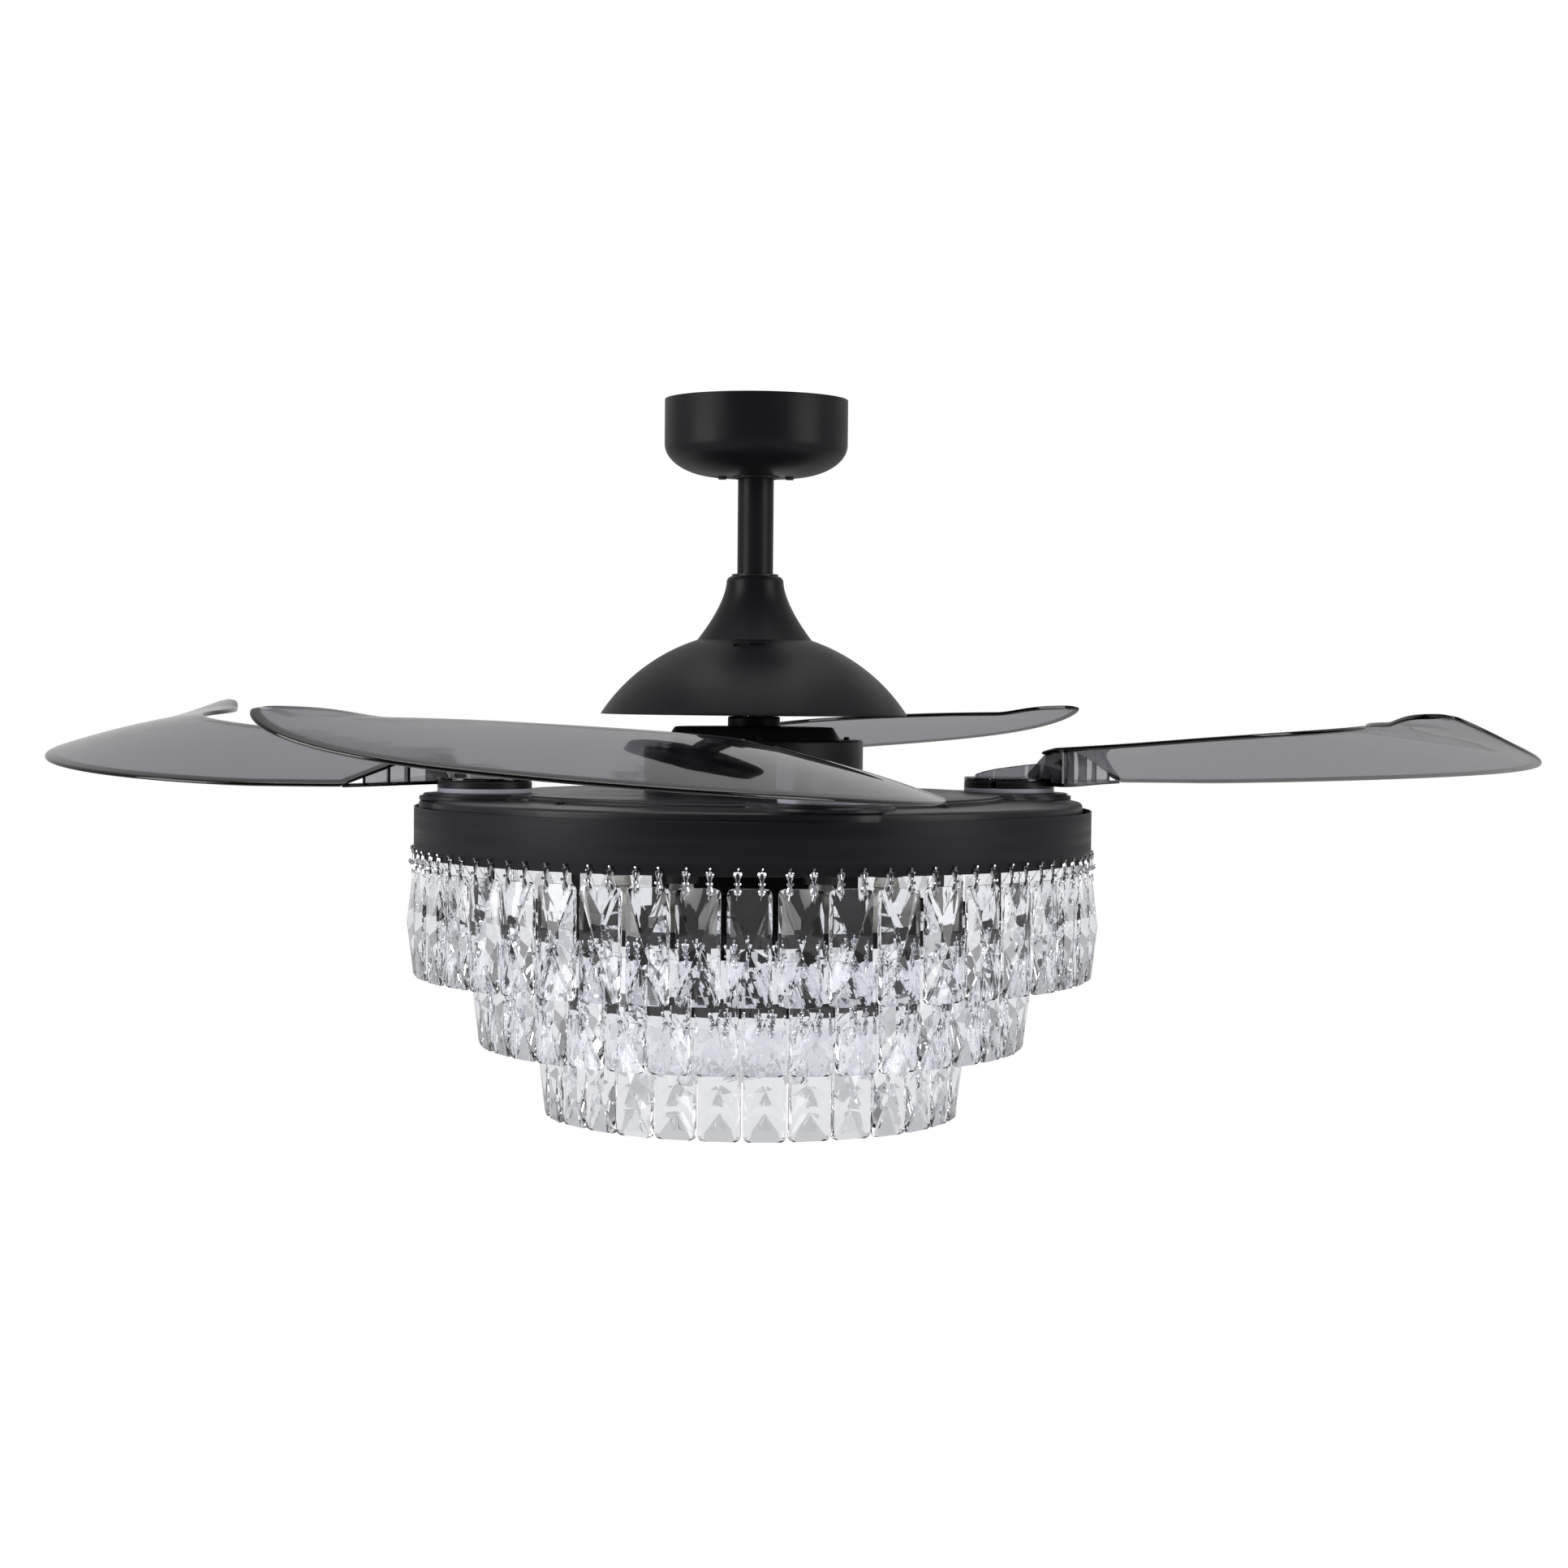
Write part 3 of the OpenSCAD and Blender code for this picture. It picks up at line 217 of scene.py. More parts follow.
def pipe(inner, outer, low, high, soft_in, soft_out, steps, turns):
    """A ring about the fan axis: a rectangular section with its inner and outer corners rounded."""
    return lathe(filleted([(inner, low, soft_in), (outer, low, soft_out), (outer, high, soft_out),
                           (inner, high, soft_in)], steps), turns)


def joined(parts):
    """Several (points, faces) pairs as one. Faces with unlike numbers of corners stay separate arrays."""
    points, faces, offset = [], [], 0
    for p, f in parts:
        p = np.asarray(p, float).reshape(-1, 3)
        points.append(p)
        for block in (f if isinstance(f, list) else [f]):
            faces.append(np.asarray(block) + offset)
        offset += len(p)
    return np.concatenate(points), faces


def ring_of(shape, radius, count, first=0.0):
    """Copies of a shape, each moved out along X to this radius and then turned to its direction."""
    points, faces = shape
    return [(turned(points + [radius, 0, 0], first + 360 / count * k), faces) for k in range(count)]


WELD = 0.0005  # points closer than this, in millimetres, are one


def put(name, points, faces, material, body, stands_for=(), slot=None, sharp=32.0, painted_shade=None):
    """Makes a piece from points in millimetres: its mesh in metres, material, body and stood-for nodes. The
    slot is not used.
    Coincident points are merged, normals point outwards, and edges over the sharp angle stay crisp.
    Painted shade, one share for each point, becomes an attribute that a finish can read."""
    mesh = bpy.data.meshes.new(name)
    blocks = faces if isinstance(faces, list) else [faces]
    loops = np.concatenate([block.ravel() for block in blocks]).astype(np.int32)
    counts = np.concatenate([np.full(len(block), block.shape[1]) for block in blocks]).astype(np.int32)
    mesh.vertices.add(len(points))
    mesh.vertices.foreach_set("co", (points * MM).astype(np.float32).ravel())
    mesh.loops.add(len(loops))
    mesh.loops.foreach_set("vertex_index", loops)
    mesh.polygons.add(len(counts))
    mesh.polygons.foreach_set("loop_start", np.concatenate([[0], np.cumsum(counts)[:-1]]).astype(np.int32))
    mesh.update(calc_edges=True)
    mesh.validate()
    if painted_shade is not None:
        mesh.attributes.new("painted_shade", "FLOAT", "POINT").data.foreach_set("value", painted_shade.astype(np.float32))
    shape = bmesh.new()
    shape.from_mesh(mesh)
    bmesh.ops.remove_doubles(shape, verts=shape.verts, dist=WELD * MM)
    bmesh.ops.dissolve_degenerate(shape, edges=shape.edges, dist=WELD * MM)
    bmesh.ops.recalc_face_normals(shape, faces=shape.faces)
    shape.to_mesh(mesh)
    shape.free()
    mesh.polygons.foreach_set("use_smooth", np.ones(len(mesh.polygons), bool))
    mesh.set_sharp_from_angle(angle=math.radians(sharp))
    piece = bpy.data.objects.new(name, mesh)
    bpy.context.scene.collection.objects.link(piece)
    mesh.materials.append(material)
    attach(piece, body)
    if stands_for:
        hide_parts(*stands_for)
    return piece


# ------------------------------------------------------------------ finishes

def linear(hex_colour):
    """sRGB hex turned to linear light: c / 12.92 up to 0.04045, above it ((c + 0.055) / 1.055) ** 2.4."""
    value = np.array([int(hex_colour[i:i + 2], 16) for i in (1, 3, 5)]) / 255
    value = np.where(value <= 0.04045, value / 12.92, ((value + 0.055) / 1.055) ** 2.4)
    return (*value.tolist(), 1.0)


def add(tree, kind, settings=None, links=None):
    """Adds a node. A setting names a socket (or its number) or else a property. A link names a socket and the
    output that feeds it."""
    node = tree.nodes.new(kind)
    for key, value in (settings or {}).items():
        if isinstance(key, int) or key in node.inputs:
            node.inputs[key].default_value = value
        else:
            setattr(node, key, value)
    for key, output in (links or {}).items():
        tree.links.new(output, node.inputs[key])
    return node


def bare_tree(block):
    """The node tree of a new material or world, emptied."""
    block.use_nodes = True
    block.node_tree.nodes.clear()
    return block.node_tree


def finish(name, shader, fill):
    """A material whose Principled shader has these sockets. fill(tree, shader) adds what varies on it."""
    material = bpy.data.materials.new(name)
    tree = bare_tree(material)
    body = add(tree, "ShaderNodeBsdfPrincipled", shader)
    add(tree, "ShaderNodeOutputMaterial", None, {"Surface": body.outputs[0]})
    fill(tree, body)
    return material


def place_on(tree, scale=(1.0, 1.0, 1.0)):
    """Object coordinates, stretched by scale along each axis."""
    place = add(tree, "ShaderNodeTexCoord")
    return add(tree, "ShaderNodeMapping", {"Scale": scale}, {"Vector": place.outputs["Object"]}).outputs[0]


def bumps(tree, body, at, size, height, detail):
    """Noise of this size and height, in millimetres, that stands on the surface as bumps."""
    noise = add(tree, "ShaderNodeTexNoise", {"Scale": 1 / (size * MM), "Detail": detail}, {"Vector": at})
    bump = add(tree, "ShaderNodeBump", {"Distance": height * MM, "Strength": 1.0},
               {"Height": noise.outputs["Fac"]})
    tree.links.new(bump.outputs[0], body.inputs["Normal"])


NOISE_LOW, NOISE_HIGH = 0.35, 0.65  # nearly all of a noise texture's values lie between these


def grain(size, height, rough, stretch=(1.0, 1.0, 1.0), shades=None, patch=60.0):
    """Returns a fill: bumps of this size and height, a range of roughness that follows patches of a larger
    size, all in millimetres, and if given a pair of colours that follow them too. A stretch below 1 along an
    axis draws the grain out along it."""
    def fill(tree, body):
        at = place_on(tree, stretch)
        bumps(tree, body, at, size, height, 2.0)
        wide = add(tree, "ShaderNodeTexNoise", {"Scale": 1 / (patch * MM), "Detail": 3.0}, {"Vector": at})
        spread = add(tree, "ShaderNodeMapRange", {1: NOISE_LOW, 2: NOISE_HIGH, 3: rough[0], 4: rough[1]},
                     {0: wide.outputs["Fac"]})
        tree.links.new(spread.outputs[0], body.inputs["Roughness"])
        if shades:
            dark, light = (linear(shade) for shade in shades)
            share = add(tree, "ShaderNodeMapRange", {1: NOISE_LOW, 2: NOISE_HIGH}, {0: wide.outputs["Fac"]})
            mix = add(tree, "ShaderNodeMix", {"data_type": "RGBA", 6: dark, 7: light}, {0: share.outputs[0]})
            tree.links.new(mix.outputs[2], body.inputs["Base Color"])
    return fill


def make_finishes(look):
    """Every finish by name. Each says what the real one is and what that gives the eye."""
    return {
        # Polyester powder coat over steel: soft even sheen, very fine orange peel, dust-like change of gloss
        "powder_coat": finish("Satin black powder coat", {
            "Base Color": linear(look.coat), "Specular IOR Level": 0.18},
            grain(0.9, 0.006, (0.36, 0.46))),
        # The same coat on the rolled band, rubbed along its length: faint level streaks round the drum
        "band_coat": finish("Rolled steel band, satin black", {"Specular IOR Level": 0.18},
                            grain(3.0, 0.012, (0.36, 0.50), (0.04, 0.04, 2.5), ("#131217", "#1e1d23"), 22.0)),
        # Heat proof paint on the lamp hub: dead matt, and blacker than the coat as painted shade for its
        # place inside the drum
        "hub_paint_and_shade": finish("Matt black heat paint and painted shade", {
            "Base Color": linear(look.hub), "Specular IOR Level": 0.1}, grain(0.6, 0.008, (0.55, 0.7))),
        # Sprayed enamel on the die casting: smoother and glossier than the coat, so it mirrors what is above
        "enamel": finish("Semi-gloss black enamel", {
            "Base Color": linear(look.enamel), "Specular IOR Level": 0.3}, grain(1.6, 0.004, (0.32, 0.42))),
        # Moulded black ABS: fine spark texture, no metal under it
        "black_plastic": finish("Moulded black ABS", {"Base Color": linear("#17171a")},
                                grain(0.35, 0.01, (0.42, 0.55))),
        # Tinted polycarbonate, injection moulded: clear and grey face on, dark where the way through is long,
        # and painted shade on rims and ribs
        "smoke": smoke_plastic(look),
        # Lead-free cut crystal: hard polished facets that split white and black
        "crystal": cut_glass(look),
        # Bright chromed brass wire and pressings: a mirror broken up by small ripples
        "chrome": finish("Chrome plate", {"Base Color": linear(look.chrome), "Metallic": 1.0},
                         grain(1.5, 0.002, (0.05, 0.14), patch=8.0)),
        # Zinc plated steel sheet: cool grey with a faint blue and straw bloom
        "zinc": finish("Zinc plated steel", {"Metallic": 1.0},
                       grain(2.0, 0.006, (0.28, 0.42), shades=("#9a9ca3", "#b5b3ac"), patch=14.0)),
        # Steel turned on a lathe: fine level tool marks
        "turned_steel": finish("Turned steel", {"Metallic": 1.0, "Base Color": linear("#b9bbc0")},
                               grain(4.0, 0.004, (0.16, 0.28), (0.2, 0.2, 12.0))),
        # Stamped silicon steel laminations, 0.5 mm each: level lines on the stator's side
        "laminations": finish("Stacked laminations", {"Metallic": 1.0, "Base Color": linear("#77787c")},
                              grain(6.0, 0.05, (0.35, 0.5), (0.05, 0.05, 12.0))),
        # Enamelled copper wire, 0.8 mm: reddish, with a bump for each strand
        "copper": finish("Enamelled copper wire", {"Metallic": 1.0, "Coat Weight": 0.5},
                         grain(0.8, 0.15, (0.25, 0.35), shades=("#a4552f", "#c27a4b"), patch=5.0)),
        # Moulded nylon: milky white, waxy
        "nylon": finish("White nylon", {
            "Base Color": linear("#d9d8d0"), "Subsurface Weight": 0.1, "Subsurface Scale": 0.002},
            grain(0.6, 0.008, (0.38, 0.5))),
        # Moulded acetal washer: pale, cool and waxy
        "washer": finish("Pale acetal", {"Base Color": linear(look.washer)}, grain(0.5, 0.004, (0.40, 0.52))),
        # Frosted glass lamp: white and soft, and what is behind it shows as a blur
        "lamp": finish("Frosted lamp glass", {
            "Base Color": linear(look.lamp), "Transmission Weight": 0.85, "IOR": 1.5,
            "Subsurface Weight": 0.2, "Subsurface Scale": 0.004}, grain(0.4, 0.01, (0.35, 0.45))),
    }


SMOKE_IOR, CRYSTAL_IOR = 1.585, 1.54
SMOKE_DENSITY = 400.0


def smoke_plastic(look):
    """Clear smoke plastic: a gloss shell, and inside it absorption that darkens a long path. Rims and ribs,
    where the painted shade is high, are painted near black, which stands in for the light that they trap."""
    def fill(tree, body):
        painted_shade = add(tree, "ShaderNodeAttribute", {"attribute_name": "painted_shade"})
        shade_tint = add(tree, "ShaderNodeMix", {"data_type": "RGBA", 6: (1, 1, 1, 1), 7: linear(look.rim)},
                   {0: painted_shade.outputs["Fac"]})
        tree.links.new(shade_tint.outputs[2], body.inputs["Base Color"])
        bumps(tree, body, place_on(tree), 26.0, 0.10, 1.0)
        haze = add(tree, "ShaderNodeVolumeAbsorption", {
            "Color": linear(look.smoke), "Density": SMOKE_DENSITY})
        tree.links.new(haze.outputs[0], tree.nodes["Material Output"].inputs["Volume"])
    return finish("Smoke polycarbonate", {
        "Transmission Weight": 1.0, "IOR": SMOKE_IOR, "Roughness": 0.03}, fill)


def cut_glass(look):
    """Cut crystal: clear glass with the slightest waviness of a polished facet."""
    return finish("Cut crystal", {
        "Base Color": linear(look.crystal), "Transmission Weight": 1.0, "IOR": CRYSTAL_IOR, "Roughness": 0.0},
        lambda tree, body: bumps(tree, body, place_on(tree), 9.0, 0.05, 0.0))


FINISHES = {}


def finish_of(name):
    """A finish by name. All are made the first time that one is asked for."""
    if not FINISHES:
        FINISHES.update(make_finishes(bpy.context.scene.fan_finishes))
    return FINISHES[name]


# ------------------------------------------------------------------ canopy, rod and cone

SHEET = 1.5
ROD_HOLE = 16.8


def arc(centre, radius_r, radius_z, start, stop, steps):
    """Points of an ellipse in a section: r = cr + a cos t, z = cz + b sin t."""
    sine, cosine = deg(np.linspace(start, stop, steps + 1))
    return np.stack([centre[0] + radius_r * cosine, centre[1] + radius_z * sine], axis=-1)


def canopy_section(lip):
    """Canopy wall: straight side, quarter ellipse bowl, flat bottom with the rod hole, then back inside."""
    radius, bottom = outer_radius("canopy"), heights("canopy")[0]
    flat, depth, side = 30.0, 25.8, 8.0
    outside = arc((flat, bottom + depth), radius - flat, -depth, 0, 90, 28)
    inside = arc((flat, bottom + depth), radius - flat - SHEET, -(depth - SHEET), 90, 0, 28)
    rim = filleted([(radius - SHEET, 0, lip * 0.5), (radius, 0, lip * 0.5), (radius, -side)], 3)[:-1]
    foot = filleted([(flat, bottom), (ROD_HOLE, bottom, lip), (ROD_HOLE, bottom + SHEET, lip),
                     (flat, bottom + SHEET)], 3)[1:-1]
    return np.concatenate([rim, outside, foot, inside])


def cone_section(rod):
    """Flared cone: r falls from the foot's radius to the shoulder's by (1 - t) ** 1.55 as t climbs from the
    foot, then a quarter round leads to the rod, and the wall runs back down inside."""
    low, high = heights("coupling_cover")
    neck, fall, wall = 22.9, 5.0, SHEET * 1.1
    shoulder = high - fall
    t = np.linspace(0, 1, 40)
    flare = neck + (outer_radius("coupling_cover") - neck) * (1 - t) ** 1.55
    climb = low + (shoulder - low) * t
    round_over = arc((neck - fall, shoulder), fall, fall, 12, 90, 8)
    return np.concatenate([
        np.stack([flare, climb], -1), round_over,
        [[rod, high], [rod, high - SHEET], [neck - fall, high - SHEET]],
        np.stack([flare[::-1] - wall, climb[::-1]], -1)])


class FAN_OT_canopy(bpy.types.Operator):
    """Canopy with its trim ring, the downrod with its collar, and the flared cone"""
    bl_idname = "fan.canopy"
    bl_label = "Canopy, rod and cone"

    def execute(self, context):
        sizes = context.scene.fan_sizes
        coat, trim = finish_of("powder_coat"), finish_of("black_plastic")
        put("canopy_shell", *lathe(canopy_section(sizes.lip), 200), coat, "root", ["canopy"], "black_coat")
        low, high = heights("canopy_ring")
        put("canopy_trim_ring", *lathe(filleted([
            (ROD_HOLE, high), (ROD_HOLE, low, 0.3), (17.9, low, 0.5), (18.9, low + 0.8, 0.4), (18.9, high)]),
            120), trim, "root", ["canopy_ring"], "black_trim")
        low, high = heights("downrod")
        rod, tube_wall = outer_radius("downrod"), 2.2
        put("downrod_tube", *pipe(rod - tube_wall, rod, low, high, 0.4, 0.4, 4, 96), coat, "hanger",
            ["downrod"], "black_coat")
        low, high = heights("downrod_collar")
        put("rod_collar", *lathe(filleted([
            (rod, low), (18.6, low, 0.2), (18.6, high, 0.7), (rod, high, 0.3)]), 96),
            trim, "hanger", ["downrod_collar"], "black_trim")
        put("coupling_cone", *lathe(cone_section(rod), 160), coat, "hanger", ["coupling_cover"], "black_coat")
        return {"FINISHED"}


# ------------------------------------------------------------------ dome and motor

class FAN_OT_dome(bpy.types.Operator):
    """Spherical motor dome with a rolled rim and the slot of the reverse switch"""
    bl_idname = "fan.dome"
    bl_label = "Dome"

    def execute(self, context):
        top = heights("motor_dome")[1]
        foot_r, sphere_r, hole_r = 46.1, 147.0, 22.5
        inner_r, rim_r = sphere_r - SHEET, outer_radius("motor_dome")
        centre = top - math.sqrt(sphere_r ** 2 - foot_r ** 2)
        rim_z = centre + math.sqrt(sphere_r ** 2 - rim_r ** 2)
        foot_out, rim_out = (math.degrees(math.acos(r / sphere_r)) for r in (foot_r, rim_r))
        foot_in, rim_in = (math.degrees(math.asin((z - centre) / inner_r)) for z in (top - SHEET, rim_z))
        outside = arc((0, centre), sphere_r, sphere_r, foot_out, rim_out + 0.3, 48)
        inside = arc((0, centre), inner_r, inner_r, rim_in + 0.3, foot_in, 48)
        edge = outside[-1][0]
        lip = [(edge + 0.05, rim_z + 0.35), (edge - 0.5, rim_z), (inside[0][0] + 0.3, rim_z)]
        shell = put("motor_dome_shell", *lathe(np.concatenate([
            [[hole_r, top]], outside, lip, inside, [[hole_r, top - SHEET]]]), 240),
            finish_of("powder_coat"), "hanger", ["motor_dome"], "black_coat")
        cut_slot(shell, centre, sphere_r)
        return {"FINISHED"}


def rounded_box(size, radius, steps=5):
    """A box with round upright corners: straight sides and quarter circles, drawn up along Z."""
    half_x, half_y = size[0] / 2 - radius, size[1] / 2 - radius
    angle = np.concatenate([np.linspace(q, q + 90, steps + 1) for q in (0, 90, 180, 270)])
    sine, cosine = deg(angle)
    corner_x = np.repeat([1, -1, -1, 1], steps + 1) * half_x
    corner_y = np.repeat([1, 1, -1, -1], steps + 1) * half_y
    outline = np.stack([corner_x + radius * cosine, corner_y + radius * sine], -1)
    levels = (-size[2] / 2, size[2] / 2)
    points = np.concatenate([np.column_stack([outline, np.full(len(outline), z)]) for z in levels])
    return points, capped(2, len(outline))


def cut_slot(shell, centre, sphere_r):
    """Cuts the switch slot through the dome's front with a boolean, which is applied at once. The cutter is a
    box tipped about X until it stands square to the sphere."""
    aside, forward = -3.7, 57.0
    up = math.sqrt(sphere_r ** 2 - forward ** 2)
    sine, cosine = forward / sphere_r, up / sphere_r
    points, faces = rounded_box((24.7, 5.0, 12.0), 1.2)
    y = points[:, 1] * cosine - points[:, 2] * sine
    z = points[:, 1] * sine + points[:, 2] * cosine
    placed = np.column_stack([points[:, 0] + aside, y - forward, z + centre + up])
    cutter = put("slot_cutter", placed, faces, finish_of("powder_coat"), "hanger")
    step = shell.modifiers.new("Switch slot", "BOOLEAN")
    step.operation, step.object, step.solver = "DIFFERENCE", cutter, "EXACT"
    graph = bpy.context.evaluated_depsgraph_get()
    cut = bpy.data.meshes.new_from_object(shell.evaluated_get(graph))
    shell.modifiers.clear()
    shell.data = cut
    cut.set_sharp_from_angle(angle=math.radians(32))
    bpy.data.objects.remove(cutter)


class FAN_OT_motor(bpy.types.Operator):
    """Outer drum of the motor and its tapered upper shell, which turn with the blades"""
    bl_idname = "fan.motor"
    bl_label = "Motor shells"

    def execute(self, context):
        coat = finish_of("powder_coat")
        low, high = heights("rotor_can")
        can, wall, foot, mouth, groove = outer_radius("rotor_can"), 3, 14, 62, 0.7
        put("rotor_can_shell", *lathe(filleted([
            (mouth, high), (can, high, 2.4), (can, low + 7, 0.8), (can - groove, low + 6.4, 0.4),
            (can - groove, low + 5.4, 0.4), (can, low + 4.8, 0.6), (can, low), (can - foot, low),
            (can - foot, low + wall), (can - wall, low + wall), (can - wall, high - wall),
            (mouth, high - wall)]), 200), coat, "rotor", ["rotor_can"], "black_coat")
        foot, top = heights("rotor_top_shell")
        shoulder, wall, bore = -262.0, 3.5, 10
        put("rotor_top_shell_cast", *lathe(filleted([
            (bore, top, 0.4), (21, top, 2.0), (21, shoulder, 1.2), (63.6, shoulder, 1.6), (70, foot),
            (61, foot), (58, shoulder - wall), (19, shoulder - wall), (19, shoulder - 5), (16, shoulder - 5),
            (16, top - 2.5), (bore, top - 2.5)]), 160), coat, "rotor", ["rotor_top_shell"], "black_alloy")
        return {"FINISHED"}


# ------------------------------------------------------------------ blade carrier

PLATFORM_R, LOBE_R = 198.0, 48.0
PLATFORM_TOP, STEP_TOP, PLATE_TOP, PLATE_UNDER = -315.0, -317.0, -320.0, -322.5
BOSS_TOP, BORE_R = -314.6, 10.2
CARRIER_R, RIM_ROUND = 264.0, 3.4


def platform_edge(angle):
    """Outer edge of the raised platform: the disc, or the far side of a lobe's circle where a ray crosses
    it. The neck between them is drawn as a half cosine, so that it is filleted as a casting is."""
    off = (angle - PIVOT_TURN + 45) % 90 - 45
    sine = deg(off)[0]
    reach = np.sqrt(np.clip(LOBE_R ** 2 - (PIVOT_R * sine) ** 2, 0, None))
    tangent = math.degrees(math.asin(LOBE_R / PIVOT_R))
    lobe = PIVOT_R * np.cos(np.radians(np.clip(abs(off), 0, tangent))) + reach
    share = np.clip((abs(off) - tangent + 1.2) / 5.2, 0, 1)
    neck = 0.5 - 0.5 * np.cos(np.pi * share)
    return lobe * (1 - neck) + PLATFORM_R * neck


def carrier_plate():
    """Die cast carrier: one profile carried round the axis, whose steps follow the platform's edge.
    Each station gives a radius, as an offset from the platform's edge or from the rim, and a height."""
    skirt_low = heights("blade_plate")[0]
    angle = np.arange(540) * 360 / 540
    edge = platform_edge(angle)
    rim = np.maximum(CARRIER_R, edge + RIM_ROUND)
    flat = np.ones_like(angle)
    stations = [(12 * flat, PLATE_UNDER), *((r * flat, PLATFORM_TOP) for r in (12, 60, 120, 160))]
    for out, z in ((-2.0, 0), (-0.8, -0.06), (-0.25, -0.3), (0.05, -0.8), (0.25, -1.5), (0.7, -1.9),
                   (1.3, -2.0)):
        stations.append((edge + out, PLATFORM_TOP + z))
    for out, z in ((2.0, 0), (2.7, -0.12), (3.1, -0.5), (3.3, -1.2), (3.6, -2.2), (4.2, -2.85), (5.0, -3.0)):
        stations.append((np.minimum(edge + out, rim - 0.3), STEP_TOP + z))
    for share in (0.25, 0.5, 0.8):
        stations.append((np.minimum(edge + 5 + (rim - 4.2 - edge - 5) * share, rim - 0.2), PLATE_TOP))
    for turn in range(90, -1, -10):
        sine, cosine = deg(turn)
        stations.append((rim - RIM_ROUND + RIM_ROUND * cosine, PLATE_TOP - RIM_ROUND + RIM_ROUND * sine))
    stations += [(rim, skirt_low + 0.4), (rim - 0.4, skirt_low), (rim - 2.5, skirt_low),
                 (rim - 2.5, PLATE_UNDER), (150 * flat, PLATE_UNDER)]
    radii, levels = np.array([r for r, _ in stations]).T, np.array([z for _, z in stations])
    sine, cosine = deg(angle)
    points = np.stack(np.broadcast_arrays(radii * cosine[:, None], radii * sine[:, None], levels), -1)
    return points.reshape(-1, 3), grid_quads(len(angle), len(stations), close_rows=True)


def at_pivots(shape):
    """A shape about its own axis, repeated about the pivot of every blade."""
    return ring_of(shape, PIVOT_R, len(BLADES), PIVOT_TURN)


class FAN_OT_carrier(bpy.types.Operator):
    """Blade carrier plate with its platform and bosses, and the pale washers on them"""
    bl_idname = "fan.carrier"
    bl_label = "Blade carrier"

    def execute(self, context):
        boss = lathe(filleted([
            (BORE_R, PLATFORM_TOP - 1), (42, PLATFORM_TOP - 1), (42, BOSS_TOP, 0.5), (BORE_R, BOSS_TOP)], 3),
            96)
        put("carrier_plate", *joined([carrier_plate(), *at_pivots(boss)]), finish_of("enamel"), "rotor",
            ["blade_plate"], "black_alloy")
        low, high = heights("pivot_washers")
        washer = pipe(BORE_R, DISC_R, low + LIFT, high, 0.0, 0.5, 3, 96)
        put("pale_washers", *joined(at_pivots(washer)), finish_of("washer"), "rotor", ["pivot_washers"],
            "silver_washer")
        return {"FINISHED"}


# ------------------------------------------------------------------ blades

# A folded blade is laid out in polar form about the fan axis: psi runs in degrees from its pivot to its tip
ROOT_PSI, ARCH_PSI, ROUND_PSI, WINGLET_PSI, TIP_PSI = 2.0, 30.0, 140.0, 167.0, 177.0
RIB_PSIS = (3.2, 8.2, 15.6, 20.6, 25.8)
RIB_FEET = (213.0, 222.0)  # where the first two ribs end on the disc
PLATE_LOW, PLATE_HIGH = -309.0, -306.2
DISC_R, DISC_REACH, FLANGE_R = 37.0, 37.6, 37.7
FIN_R = 28.2
# The second width is the band along each rim that is painted dark, as painted shade
RIM_W, SHADED_RIM_BAND = 5.0, 7.5
# Shares of painted shade, dark painted into the clear plastic, on the root's disc, plate, ribs, wall and fin
DISC_SHADE, PLATE_SHADE, RIB_SHADE, WALL_SHADE, FIN_SHADE = 0.12, 0.75, 0.7, 0.2, 0.3
LIFT = 0.02  # parts moulded or laid on one another stand this far apart, so that no two faces coincide


def edge_in(psi):
    """Inner edge of a folded blade: flared at the root, an arc beside the dome, rounded at the tip."""
    return 128 + 44 * np.clip(1 - psi / 40, 0, None) ** 2 + 112.4 * round_end(psi, ROUND_PSI)


def edge_out(psi):
    """Outer edge of a folded blade: an arc over the carrier's rim, drawn in at the root and rounded at
    the tip."""
    return 256.4 - 10 * np.clip(1 - psi / 24, 0, None) ** 2 - 12 * round_end(psi, 166)


def round_end(psi, start):
    """0 before start, then 1 - sqrt(1 - u squared) as u runs from 0 to 1 at the tip: a quarter ellipse."""
    u = np.clip((psi - start) / (TIP_PSI - start), 0, 1)
    return 1 - np.sqrt(1 - u * u)


def ease(t):
    """0 to 1 by 3 t squared less 2 t cubed."""
    t = np.clip(t, 0, 1)
    return t * t * (3 - 2 * t)


def skin_top(psi, s, sizes):
    """Height of a blade's upper face at share s of its width: a line from the high inner to the low outer
    edge, plus an arch of 4 s (1 - s), plus the tip's raised inner corner, a smooth rise fading outwards."""
    t = np.clip((psi - 45) / (TIP_PSI - 45), 0, None)
    low = -306 + 4.2 * ease(1 - psi / 24) + 59.6 * (0.68 * t ** 1.4 + 0.32 * t ** 10)
    u = np.clip((psi - ROOT_PSI) / (TIP_PSI - ROOT_PSI), 0, 1)
    high = -277 + 25.5 * (1 - (1 - u) ** 1.6)
    rise = ease((psi - WINGLET_PSI) / (TIP_PSI - WINGLET_PSI)) * np.clip(1 - s / 0.7, 0, 1) ** 1.5
    return high + s * (low - high) + 4 * sizes.camber * s * (1 - s) + sizes.winglet * rise


def under_skin(psi, r, sizes):
    """Height where a wall ends inside the skin: the upper face at this radius, less 0.6 of the thickness."""
    share = (r - edge_in(psi)) / (edge_out(psi) - edge_in(psi))
    return skin_top(psi, share, sizes) - sizes.skin * 0.6


def arch_share(psi):
    """Share of the blade's width that the skin fills. It draws back at the root, in an arch over the ribs."""
    return 0.22 + 0.78 * np.clip((psi - ROOT_PSI) / (ARCH_PSI - ROOT_PSI), 0, 1) ** 1.3


